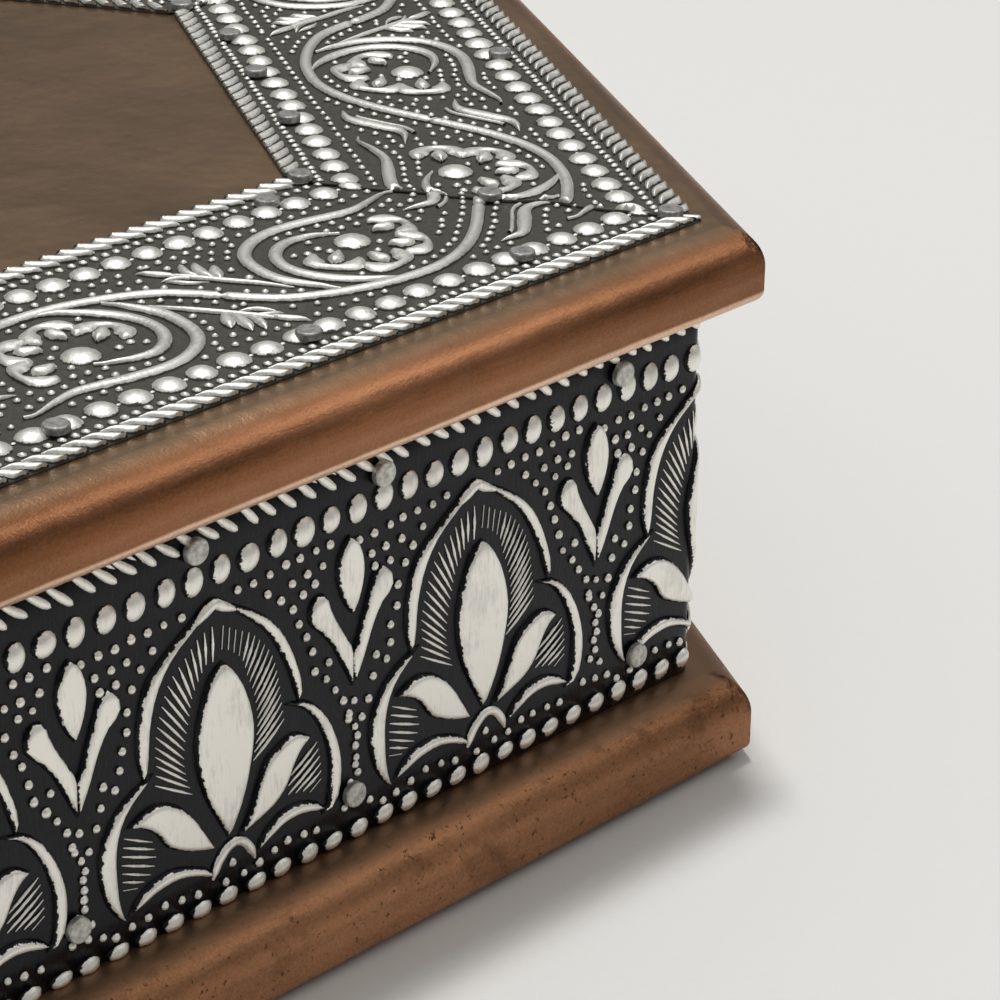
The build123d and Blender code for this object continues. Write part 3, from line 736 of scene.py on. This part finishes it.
SPRIG_SHAPES = [
    ([(-0.1, 26.9), (-1.1, 25.8), (-1.55, 24.0), (-1.2, 22.3), (-0.6, 21.0), (0.1, 20.1)],
     [(-0.1, 26.9), (0.9, 25.9), (1.4, 24.2), (1.25, 22.6), (0.75, 21.2), (0.1, 20.1)]),
    ([(-3.6, 23.0), (-4.4, 22.2), (-4.45, 20.9), (-3.5, 19.9), (-2.1, 18.2), (-1.1, 16.2), (0.1, 13.8)],
     [(-3.6, 23.0), (-2.6, 22.8), (-2.1, 21.4), (-1.3, 19.8), (-0.5, 18.4), (0.15, 17.0), (0.1, 13.8)]),
    ([(3.3, 23.2), (2.4, 22.7), (1.7, 21.0), (1.0, 19.2), (0.5, 17.7), (-0.1, 16.5), (0.2, 13.9)],
     [(3.3, 23.2), (4.3, 22.3), (4.4, 21.0), (3.3, 20.2), (2.3, 18.6), (1.4, 16.4), (0.2, 13.9)])]
TIP = [(-2.4, 25.0), (-0.8, 25.85), (0.15, 26.25), (1.0, 25.75), (2.6, 24.9)]
FOOT = [(-0.6, 3.1), (-0.1, 4.3), (0.8, 5.2), (1.7, 5.5), (2.6, 5.1), (3.3, 4.2), (3.7, 3.2)]
# Rays inside the outline run from the first line to the second, evenly spaced.
RAYS = [
    (18, [(0.0, 24.4), (-1.3, 24.0), (-2.6, 22.9), (-4.2, 21.6), (-5.0, 20.0), (-5.6, 18.2), (-5.9, 16.4),
      (-5.8, 15.0), (-6.0, 13.5)],
     [(0.0, 21.5), (-0.7, 21.5), (-1.3, 20.7), (-2.1, 19.4), (-2.5, 17.8), (-2.9, 16.0), (-3.1, 14.3),
      (-2.9, 12.9), (-2.4, 11.3)]),
    (18, [(1.1, 24.1), (2.3, 23.3), (3.7, 22.5), (4.8, 21.4), (5.8, 20.0), (6.3, 18.6), (6.6, 17.0),
      (6.8, 15.4), (7.0, 13.9)],
     [(0.9, 22.2), (1.7, 21.8), (2.9, 20.6), (3.3, 19.2), (3.9, 17.6), (4.2, 16.2), (4.3, 14.6),
      (4.1, 13.0), (3.8, 11.6)]),
    (7, [(-9.1, 10.3), (-9.4, 8.6), (-9.4, 7.2), (-9.4, 6.0)],
     [(-6.4, 8.9), (-6.1, 7.5), (-6.6, 6.3), (-8.0, 5.6)]),
    (6, [(10.4, 10.5), (10.7, 9.1), (10.8, 7.9), (10.8, 7.1)],
     [(7.6, 8.7), (7.3, 7.2), (8.6, 6.9), (9.6, 6.4)])]
# Rows of dots: how many stand evenly along each line.
DOT_ROWS = [
    (7, [(-12.6, 26.1), (-3.1, 26.3)]), (7, [(2.5, 26.5), (12.0, 26.9)]),
    (3, [(-11.3, 24.5), (-8.2, 24.5)]), (2, [(-5.8, 24.7), (-7.0, 23.5)]),
    (2, [(-10.9, 23.2), (-9.3, 23.2)]), (2, [(5.6, 25.0), (6.9, 24.0)]), (3, [(8.0, 25.0), (11.1, 25.2)]),
    (2, [(9.2, 23.8), (10.5, 24.1)]), (3, [(-7.8, 22.3), (-8.5, 20.8), (-8.6, 19.0)]),
    (2, [(-9.1, 17.6), (-9.3, 16.1)]),
    (5, [(8.0, 22.8), (8.7, 21.3), (9.4, 19.8), (9.9, 18.4), (10.3, 16.8)]),
    (1, [(11.7, 16.9), (11.7, 16.9)]), (4, [(11.3, 15.5), (12.3, 14.3), (13.2, 12.9), (13.6, 11.5)]),
    (3, [(-10.9, 15.5), (-11.2, 13.8), (-11.7, 12.1)]), (1, [(-9.8, 14.7), (-9.8, 14.7)]),
    (5, [(-12.4, 10.8), (-12.9, 9.2), (-13.0, 7.6), (-13.0, 6.0), (-12.5, 4.6)]),
    (4, [(14.4, 10.2), (14.4, 8.6), (14.4, 7.0), (13.9, 5.4)]), (2, [(-13.2, 12.6), (-13.9, 11.2)]),
    (2, [(13.2, 3.5), (14.6, 3.4)]), (2, [(-11.5, 3.0), (-10.2, 2.3)]),
    (5, [(-8.7, 2.5), (-5.2, 3.0), (-2.1, 2.5)]), (5, [(4.2, 2.6), (7.0, 3.2), (10.2, 2.8)]),
    (1, [(1.5, 3.7), (1.5, 3.7)]), (2, [(0.6, 2.4), (2.5, 2.5)])]


def palmette_rays():
    """The fine rays inside a palmette, the thickening at its tip and the hoop at its foot."""
    rays = []
    for count, outer, inner in RAYS:
        for start, end in zip(spread(outer, count), spread(inner, count)):
            rays.append(ridge([start, end], RAY_WIDTH, 0.3, (0.35, 0.3), 1.05))
    return rays + [ridge(TIP, 0.95, 0.46, (0.3, 0.3)), ridge(FOOT, 0.85, 0.38, (0.15, 0.15), 0.4)]


def palmette_shapes(fineness):
    """The raised shapes of one palmette and of the sprig after it. Those on the bend may have finer faces."""
    shapes = []
    for group, rise, count in ((PALMETTE_BANDS, 0.5, 15), (PALMETTE_PETALS, 0.55, 17)):
        for edges in group:
            places = [x for x, y in edges[0] + edges[1]]
            times = fineness if min(places) < BEND_END and max(places) > BEND_START else 1
            shapes.append(between(*edges, rise, count * times, times))
    for points, faces, polish in [between(*edges, 0.52, 15) for edges in SPRIG_SHAPES]:
        shapes.append((points + np.array([SPRIG_AXIS, 0, 0]), faces, polish))
    return shapes


palmette_lines = palmette_rays()
flat_palmette = palmette_shapes(1)
corner_palmette = palmette_shapes(2)
side_lines, side_beads, side_shapes = [], [], []
wobble = np.random.default_rng(11)
# Ten palmettes each way from the middle of the front side reach past both ends of the strip.
for number in range(-10, 10):
    axis = PALMETTE_SHIFT + number * PALMETTE_PITCH
    side_lines += [(line + np.array([axis, 0]), half, rise) for line, half, rise in palmette_lines]
    shapes = corner_palmette if number % PALMETTES_PER_SIDE == 1 else flat_palmette
    shift = np.array([axis, STRIP_LOW, 0])
    side_shapes += [(points + shift, faces, polish) for points, faces, polish in shapes]
    for count, row in DOT_ROWS:
        for x, y in (spread(row, count) if count > 1 else row[:1]):
            shake = wobble.normal(0, 0.07, 3)
            size = DOT_SIZE * (1 + shake[2])
            side_beads.append((axis + x + shake[0], y + shake[1], size * 0.94, size, 0.42, 0.0))
    for bead in range(BEADS_PER_PALMETTE):
        along = axis + (bead + 0.35) * PALMETTE_PITCH / BEADS_PER_PALMETTE
        shake = wobble.normal(0, 0.05, 4)
        upper, lower = UPPER_BEADS + shake[0], LOWER_BEADS + shake[0]
        side_beads.append((along + shake[3], upper, 1.08 + shake[2], 1.22 + shake[1], 0.58, 0))
        side_beads.append((along + shake[2], lower, 1.1, 0.78 + shake[1], 0.5, 0.15))
    # The strip's upper edge cuts off the rope border. Some of its strokes have a thin one beside them.
    for stroke in range(ROPE_STROKES):
        along = axis + stroke * PALMETTE_PITCH / ROPE_STROKES
        shake = wobble.normal(0, 0.12, 3)
        slant = [(along - 2.7, 34.3), (along - 1.1 + shake[0], 32.9),
                 (along + 0.75 + shake[1], 31.35 + shake[2])]
        side_lines.append(leaf(slant, 0.82, 0.45, 0.76, 0.42, 0.45))
        if wobble.random() < 0.3:
            side_lines.append(leaf([(along - 1.2, 33.9), (along + 0.9, 32.3)], 0.35, 0.3, 0.6, 0.3))
# The strip's two ends meet in the middle of the back side, and cut through whatever falls there.
side_lines = [(line + np.array([0, STRIP_LOW]), half, rise) for line, half, rise in side_lines
              if np.abs(line[:, 0]).min() < STRIP_END - 0.3]
side_beads = [(x, y + STRIP_LOW, *rest) for x, y, *rest in side_beads if abs(x) < STRIP_END - 0.4]
side_shapes = [shape for shape in side_shapes if np.abs(shape[0][:, 0]).min() < STRIP_END - 0.3]
# The sheet under them has soft dents, and more columns where it bends.
straight_columns = np.linspace(-3 * SIDE_RUN, 3 * SIDE_RUN, 145)
bend_columns = [(corner + 0.5) * SIDE_RUN + np.linspace(-0.8, 0.8, 8) for corner in range(-3, 3)]
columns = np.unique(np.concatenate([straight_columns, *bend_columns]))
sheet_points, sheet_faces, sheet_polish = sheet_grid(columns, np.linspace(STRIP_LOW, STRIP_HIGH, 10), 0.2)
along, height = sheet_points[:, 0], sheet_points[:, 1]
sheet_points[:, 2] += 0.03 * np.sin(along * 0.37) * np.cos(height * 0.51 + along * 0.11)


def bend_around_walls(points):
    """Flat strip points to the walls: along runs to the right from the front side's middle."""
    along, height, rise = points[:, 0], points[:, 1], points[:, 2]
    along = np.clip(along, -STRIP_END, STRIP_END)
    # The ornament strays up and down a little along each side, but the strip's edges are straight.
    wander = STRIP_WANDER * np.sin(math.pi * (along - PALMETTE_SHIFT) / SIDE_RUN)
    inner = np.clip((height - STRIP_LOW) / 1.5, 0, 1) * np.clip((STRIP_HIGH - height) / 1.5, 0, 1)
    height = np.clip(height + wander * np.where(rise > 0.035, 1, inner), STRIP_LOW, STRIP_HIGH)
    side = np.round(along / SIDE_RUN)
    local = along - side * SIDE_RUN
    over = np.clip(np.abs(local) - STRAIGHT / 2, 0, None) / BEND_RADIUS
    out = BEND_RADIUS + SHEET_RISE + rise - FACE_RISE
    sideways = np.sign(local) * (np.minimum(np.abs(local), STRAIGHT / 2) + out * np.sin(over))
    apothem = STRIP_FACE - BEND_RADIUS + out * np.cos(over)
    angle = side * math.pi / 3
    x = sideways * np.cos(angle) + apothem * np.sin(angle)
    y = sideways * np.sin(angle) - apothem * np.cos(angle)
    return np.stack([x, y, height], axis=1)


flats = [(sheet_points, sheet_faces, sheet_polish), *side_shapes, line_relief(side_lines, side_metal, 5),
         bead_relief([bead for bead in side_beads if bead[2] > 0.8], side_metal, 14, 8, 0.36),
         bead_relief([bead for bead in side_beads if bead[2] <= 0.8], side_metal, 8, 4)]
strip = embossed_piece("side_strip_relief", flats, bend_around_walls, side_metal)
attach(strip, "box")
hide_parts("side_strip")

# Lid strips
# Six lengths of one stamped band of white metal, laid flat on the lid and mitred at the corners. Each
# starts on top of the strip before it, with a snipped wavy edge, and is nailed down through the border.
BAND_WIDTH = 30.0
BAND_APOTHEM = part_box("lid_strip_front")[0].y / -MM
BAND_SIDE = 2 * BAND_APOTHEM * math.tan(math.pi / 6)
LID_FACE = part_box("lid_copper")[1].z / MM
NAIL_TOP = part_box("lid_nails")[1].z / MM
LID_SHEET_RISE = 0.2
LOBE_PITCH = 28.3
LOBE_CENTRE = 14.6
FIRST_LOBE = 14.5
BIG_BEAD_PITCH, BIG_BEAD_ROWS = 3.21, (4.65, 25.4)
SMALL_BEAD_PITCH, SMALL_BEAD_ROWS = 1.15, (2.55, 27.5)
STRAND_PITCH = 1.78
SIN_30, COS_30 = 0.5, math.cos(math.pi / 6)
# How far the snipped edge strays from the mitre, at places along the mitre from the outer corner.
SNIPS = [(0, 0.2), (1.6, 0.5), (5.1, 1.3), (7.4, 0.0), (9.8, -0.2), (13.3, -0.1), (15.2, -0.5), (17.3, 0.1),
         (19.4, -0.35), (21.1, -0.5), (23.1, 0.0), (25.5, -0.3), (27.3, 0.0), (29.3, 1.1), (31.6, 0.35),
         (33.0, 0.0), (35.0, 0.4)]
# Where along the band each strip starts.
BAND_STARTS = {"front": -43.0, "front_right": 0.0, "back_right": 21.0, "back": -12.5, "back_left": 34.0,
               "front_left": 9.0}


def offset_line(line, distance):
    """A line beside another one, at an even distance."""
    way = np.gradient(line, axis=0)
    way /= np.maximum(np.linalg.norm(way, axis=1), 1e-9)[:, None]
    return line + distance * np.stack([-way[:, 1], way[:, 0]], axis=1)


def petal(centre, outward, size=1.0):
    """Two swollen lobes bent around a drop."""
    angles = np.radians(np.linspace(-104, 104, 25))
    way = math.radians(outward)
    middle = np.array(centre)
    arc = middle + size * 1.85 * np.stack([np.cos(angles + way), np.sin(angles + way)], axis=1)
    swell = np.exp(-((np.abs(np.degrees(angles)) - 58) / 30) ** 2)
    half = size * (0.34 + 0.62 * swell)
    half[[0, -1]] = 0.04
    inner = middle - 1.35 * size * np.array([math.cos(way), math.sin(way)])
    outer = middle + 0.85 * size * np.array([math.cos(way), math.sin(way)])
    drop = leaf([inner, outer], 1.5 * size, 0.62, 0.6, 0.25, 0.6)
    return [(arc, half, 0.46), drop]


def scroll_leaf(points, side):
    """A pointed leaf with a thin second line beside it."""
    body = leaf(points, 1.35, 0.42, 0.52)
    line = smooth_line(points)
    share = np.linspace(0, 1, len(line))
    beside = offset_line(line, side * 1.0)[(share > 0.22) & (share < 0.82)]
    return [body, (beside, np.full(len(beside), 0.2), 0.34)]


def crest_lobe():
    """One lobe of the scroll, around a flower, drawn about the middle of its crest."""
    parts = [ridge([(-14.15, 14.6), (-12.7, 15.9), (-10.4, 17.9), (-7.7, 19.8), (-5, 21.1), (-2.3, 21.8),
                    (0, 21.9), (2.5, 21.7), (4.8, 21.2), (7.7, 20.2), (10.7, 18.6), (12.6, 16.7),
                    (14.15, 14.6)], 1.15, 0.5, (0.01, 0.01)),
             ridge([(1.4, 21.5), (3.0, 20.6), (4.8, 18.9), (6.1, 16.8), (6.6, 14.7), (6.3, 12.7), (5.1, 10.9),
                    (3.3, 9.9), (1.2, 10.0), (-0.5, 10.7), (-1.5, 11.3)], 1.2, 0.46, (0.25, 0.3)),
             ridge([(6.6, 19.9), (7.7, 17.7), (8.6, 15.3), (8.5, 12.7), (7.7, 10.3), (6.3, 8.7), (4.2, 7.6),
                    (1.8, 7.2), (-1.1, 7.5), (-3.5, 8.0), (-5.9, 8.3), (-8.2, 7.8), (-10.3, 7.2),
                    (-11.3, 7.4)], 1.25, 0.46, (0.15, 0.3)),
             ridge([(8.9, 17.1), (10.1, 15.0), (11.6, 12.7), (13.1, 10.3), (14.5, 7.9)],
                   0.6, 0.4, (0.3, 0.2)),
             leaf([(13.9, 9.3), (14.6, 8.0), (15.8, 6.4)], 0.85, 0.42),
             leaf([(11.9, 12.2), (11.3, 10.9), (10.5, 9.5)], 1.25, 0.42, 0.6),
             leaf([(12.1, 11.6), (12.0, 10.0), (11.3, 8.0)], 1.2, 0.42, 0.6),
             leaf([(12.6, 10.9), (12.9, 9.3), (12.2, 7.4)], 0.9, 0.42, 0.6),
             leaf([(12.7, 11.6), (14.1, 11.0), (15.2, 9.3)], 0.5, 0.4, 0.6),
             leaf([(12.9, 10.8), (13.9, 9.6), (15.4, 9.0)], 0.5, 0.4, 0.6)]
    parts += scroll_leaf([(-19.3, 18.2), (-16.5, 17.8), (-14.4, 19.5), (-12.1, 21.4), (-9.7, 21.4)], -1)
    for centre, outward in (((-5.1, 12.9), 173), ((-3.7, 16.5), 147), ((0.0, 17.6), 99), ((2.6, 15.2), 35)):
        parts += petal(centre, outward)
    beads = [(-1.1, 13.2, 1.65, 1.6, 0.62, 0), (2.0, 12.5, 0.42, 0.42, 0.34, 0),
             (3.3, 12.7, 0.42, 0.42, 0.34, 0)]
    return parts, beads


def half_turned(parts, beads):
    """The same lobe turned half around, for the trough between two crests."""
    lines = [(np.array([0, 2 * LOBE_CENTRE]) - line, half, rise) for line, half, rise in parts]
    return lines, [(-x, 2 * LOBE_CENTRE - y, *rest) for x, y, *rest in beads]


CREST = crest_lobe()
TROUGH = half_turned(*CREST)


def lobes(numbers, start):
    """The lines and beads of the numbered lobes of the band, along a strip that starts at the given place."""
    lines, beads = [], []
    for number in numbers:
        parts, knobs = CREST if number % 2 else TROUGH
        shift = FIRST_LOBE + number * LOBE_PITCH - start
        lines += [(line + np.array([shift, 0]), half, rise) for line, half, rise in parts]
        beads += [(x + shift, y, *rest) for x, y, *rest in knobs]
    return lines, beads


def scatter_dots(lines, beads, area, gap, pitch, size, rise, rows):
    """Dots in rows that follow the ornament: each row is a line of candidates, kept where there is room."""
    taken = np.vstack([line for line, half, height in lines])
    reach = np.concatenate([half for line, half, height in lines])
    for x, y, half_x, half_y, *_ in beads:
        taken = np.vstack([taken, (x, y)])
        reach = np.append(reach, max(half_x, half_y) * 0.9)
    dots = []
    low_x, high_x, low_y, high_y = area
    for row in rows:
        steps = np.linalg.norm(np.diff(row, axis=0), axis=1)
        run = np.concatenate([[0], np.cumsum(steps)])
        for place in np.arange(pitch / 2, run[-1], pitch):
            x = np.interp(place, run, row[:, 0])
            y = np.interp(place, run, row[:, 1])
            if not (low_x < x < high_x and low_y < y < high_y):
                continue
            near = np.hypot(taken[:, 0] - x, taken[:, 1] - y) - reach
            if near.min() < gap + size:
                continue
            if dots and np.min(np.hypot(*(np.array(dots)[:, :2] - (x, y)).T)) < pitch * 0.82:
                continue
            dots.append((x, y, size, size, rise, 0.0))
    return dots


def band_dots():
    """The dots of one repeat of the band: first along the scroll and its borders, then in what is left."""
    lines, beads = lobes(range(-2, 4), 0)
    low, high = 0.0, 2 * LOBE_PITCH
    rows = [smooth_line([(low - 2, v), (high + 2, v)], 1.0) for v in (23.25, 6.85)]
    for number in range(-1, 3):
        parts = CREST[0] if number % 2 else TROUGH[0]
        shift = np.array([FIRST_LOBE + number * LOBE_PITCH, 0])
        for distance in (1.35, 2.75, 4.1, 5.5, -1.35, -2.75):
            rows.append(offset_line(parts[0][0] + shift, distance))
        for distance in (1.3, -1.3, 2.6, -2.6):
            rows.append(offset_line(parts[2][0] + shift, distance))
            rows.append(offset_line(parts[3][0] + shift, distance))
    rows += [smooth_line([(low - 2, v), (high + 2, v)], 1.0) for v in np.arange(8.2, 22, 1.25)]
    return scatter_dots(lines, beads, (low, high, 6.4, 23.7), 0.28, 1.42, 0.37, 0.36, rows)


BAND_DOTS = band_dots()
lid_metal = embossed_metal(
    "wiped_lid_strip", ground=(0.085, 0.079, 0.063), silver=(0.76, 0.75, 0.70), cut=0.45, ragged=0.55,
    ground_metallic=0.4, ground_rough=0.5, rag_scale=2600.0, scratch_scale=2600.0,
    scratch_stretch=(1.0, 1.0, 1.0), gloss=0.5)


def snip_edge(corner, toward):
    """The snipped edge at a corner, as places across and along the strip that starts or ends there."""
    places = np.linspace(-2, 37, 118)
    spots, strays = zip(*SNIPS)
    strays = np.roll(strays, corner * 3) * (1 - 0.35 * (corner % 2))
    stray = toward * np.interp(places, spots, strays)
    return places * COS_30 - stray * SIN_30, places * SIN_30 + stray * COS_30


def border(phase, wobble):
    """The big beads with specks between them, the small beads, and the strands of the two rope edges."""
    beads, strands = [], []
    for index in range(-1, 27):
        s = (index + phase) * BIG_BEAD_PITCH
        for v in BIG_BEAD_ROWS:
            shake = wobble.normal(0, 0.05, 4)
            beads.append((s + shake[0], v + shake[1], 1.36 + shake[2], 1.34 + shake[3], 0.6, 0))
            beads.append((s + BIG_BEAD_PITCH / 2, v, 0.26, 0.2, 0.16, 0))
    for index in range(-1, 74):
        s = (index + phase) * SMALL_BEAD_PITCH
        for v in SMALL_BEAD_ROWS:
            shake = wobble.normal(0, 0.04, 2)
            beads.append((s + shake[0], v + shake[1], 0.36, 0.44, 0.34, 0.5))
    for index in range(-1, 48):
        s = (index + phase) * STRAND_PITCH
        outer = [(s - 1.35, 1.75), (s - 0.35, 1.3), (s + 0.35, 0.65), (s + 1.0, -0.3), (s + 1.3, -1.0)]
        inner = [(s - 1.3, 30.9), (s - 0.8, 30.2), (s - 0.1, 29.35), (s + 0.5, 28.8), (s + 1.25, 28.35)]
        strands += [leaf(outer, 1.02, 0.5, 0.62, 0.3, 0.5), leaf(inner, 1.02, 0.5, 0.45, 0.3, 0.5)]
    return beads, strands


def lid_strip(side, name):
    """One strip: s runs along it from the outer corner at its start, and v across it from the outer edge."""
    start = BAND_STARTS[name]
    left_v, left_s = snip_edge(side, 1)
    right_v, right_s = snip_edge((side + 1) % 6, -1)

    def limits(v):
        """Where the strip starts and ends, at the given places across it."""
        return np.interp(v, left_v, left_s), BAND_SIDE - np.interp(v, right_v, right_s) + 0.3

    def within(x, y, spare):
        """Whether a place is on the strip, or off its snipped ends by less than the spare."""
        low, high = limits(np.clip(y, 0, BAND_WIDTH))
        return low - spare < x < high + spare

    # Six lobes, from the one before the start, reach past the end.
    first = int(math.floor((start - FIRST_LOBE) / LOBE_PITCH)) - 1
    lines, beads = lobes(range(first, first + 6), start)
    wobble = np.random.default_rng(20 + side)
    for repeat in range(-2, 3):
        shift = repeat * 2 * LOBE_PITCH - start
        for x, y, half_x, half_y, rise, angle in BAND_DOTS:
            shake = wobble.normal(0, 0.05, 3)
            grow = 1 + 1.2 * shake[2]
            place = (x + shift + shake[0], y + shake[1])
            beads.append((*place, half_x * grow, half_y * grow * 0.9, rise, angle))
    edge_beads, strands = border((start * 0.37) % 1.0, wobble)
    beads += edge_beads
    lines = [part for part in lines if any(within(x, y, 0.3) for x, y in part[0][::3])]
    lines += [part for part in strands if all(within(x, y, 1.1) for x, y in part[0][::2])]
    beads = [bead for bead in beads if within(bead[0], bead[1], bead[2] * 0.8)]
    points, faces, polish = sheet_grid(np.linspace(0, 1, 104), np.linspace(0, BAND_WIDTH, 39), LID_SHEET_RISE)
    low, high = limits(points[:, 1])
    points[:, 0] = low + points[:, 0] * (high - low)
    points[:, 2] += 0.03 * np.sin(points[:, 0] * 0.9) * np.cos(points[:, 1] * 0.7)
    flats = [(points, faces, polish), line_relief(lines, lid_metal, 7, 1.0),
             bead_relief([bead for bead in beads if bead[2] > 0.9], lid_metal, 14, 10),
             bead_relief([bead for bead in beads if bead[2] <= 0.9], lid_metal, 8, 4)]

    def lay(points):
        """Flat strip points to their place on the lid."""
        s, v, rise = points[:, 0].copy(), np.clip(points[:, 1], 0, BAND_WIDTH), points[:, 2]
        low, high = limits(v)
        # What the snips cut off is flattened onto the edge.
        rise = np.where((s < low) | (s > high), np.minimum(rise, 0.02), rise)
        s = np.clip(s, low, high)
        # The strip's start curls up a little, and its end dips under the next strip.
        curl = 0.2 * np.exp(-((s - low) / 0.7) ** 2)
        sink = 0.12 * np.exp(-((high - s) / 0.6) ** 2)
        z = LID_FACE + LID_SHEET_RISE + rise + curl - sink
        along, apothem = s - BAND_SIDE / 2, BAND_APOTHEM - v
        angle = side * math.pi / 3
        x = along * math.cos(angle) + apothem * math.sin(angle)
        y = along * math.sin(angle) - apothem * math.cos(angle)
        return np.stack([x, y, np.minimum(z, NAIL_TOP)], axis=1)

    strip = embossed_piece(f"lid_strip_{name}_relief", flats, lay, lid_metal)
    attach(strip, "lid")
    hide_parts(f"lid_strip_{name}")


for side, name in enumerate(SIDE_NAMES):
    lid_strip(side, name)

# Nails
# Flat-headed steel pins, driven through the strips into the wood. The ones on the lid are dull and dirty,
# and the ones on the walls are rubbed paler.
def nail_steel(name, dirty, clean):
    """Steel with dirt in its pits, which is also where it is rough."""
    made, tree, shader = material(name, clean, metallic=0.9, roughness=0.5)
    dirt = noise(tree, object_space(tree), 1600.0, 5.0, 0.75)
    tree.links.new(ramp(tree, dirt, [(0.35, dirty), (0.6, clean)]), shader.inputs["Base Color"])
    tree.links.new(ramp(tree, dirt, [(0.3, 0.62), (0.7, 0.42)]), shader.inputs["Roughness"])
    bump(tree, shader, dirt, 0.5, 0.0002)
    return made


dull_steel = nail_steel("dull_steel", dirty=(0.2, 0.195, 0.185), clean=(0.46, 0.45, 0.43))
rubbed_steel = nail_steel("rubbed_steel", dirty=(0.4, 0.39, 0.36), clean=(0.72, 0.71, 0.66))
dress("lid_nails", dull_steel)
dress("base_fixing_nails", dull_steel)
dress("side_nails", rubbed_steel)

# Hinges
# Two small butt hinges of drawn brass, browned with age, at the back. Their leaves are screwed to the wall
# and to the lid board, and their knuckles stand outside the wall.
BRASS_BROWNED = (0.28, 0.17, 0.06)
BRASS_BARE = (0.62, 0.44, 0.18)
brass, tree, shader = material("aged_brass", BRASS_BARE, metallic=0.95, roughness=0.35)
age = noise(tree, object_space(tree), 260.0, 5.0, 0.65)
tree.links.new(ramp(tree, age, [(0.3, BRASS_BROWNED), (0.65, BRASS_BARE)]), shader.inputs["Base Color"])
tree.links.new(ramp(tree, age, [(0.3, 0.5), (0.7, 0.28)]), shader.inputs["Roughness"])
for node in nodes:
    if node.startswith("hinge"):
        dress(node, brass)
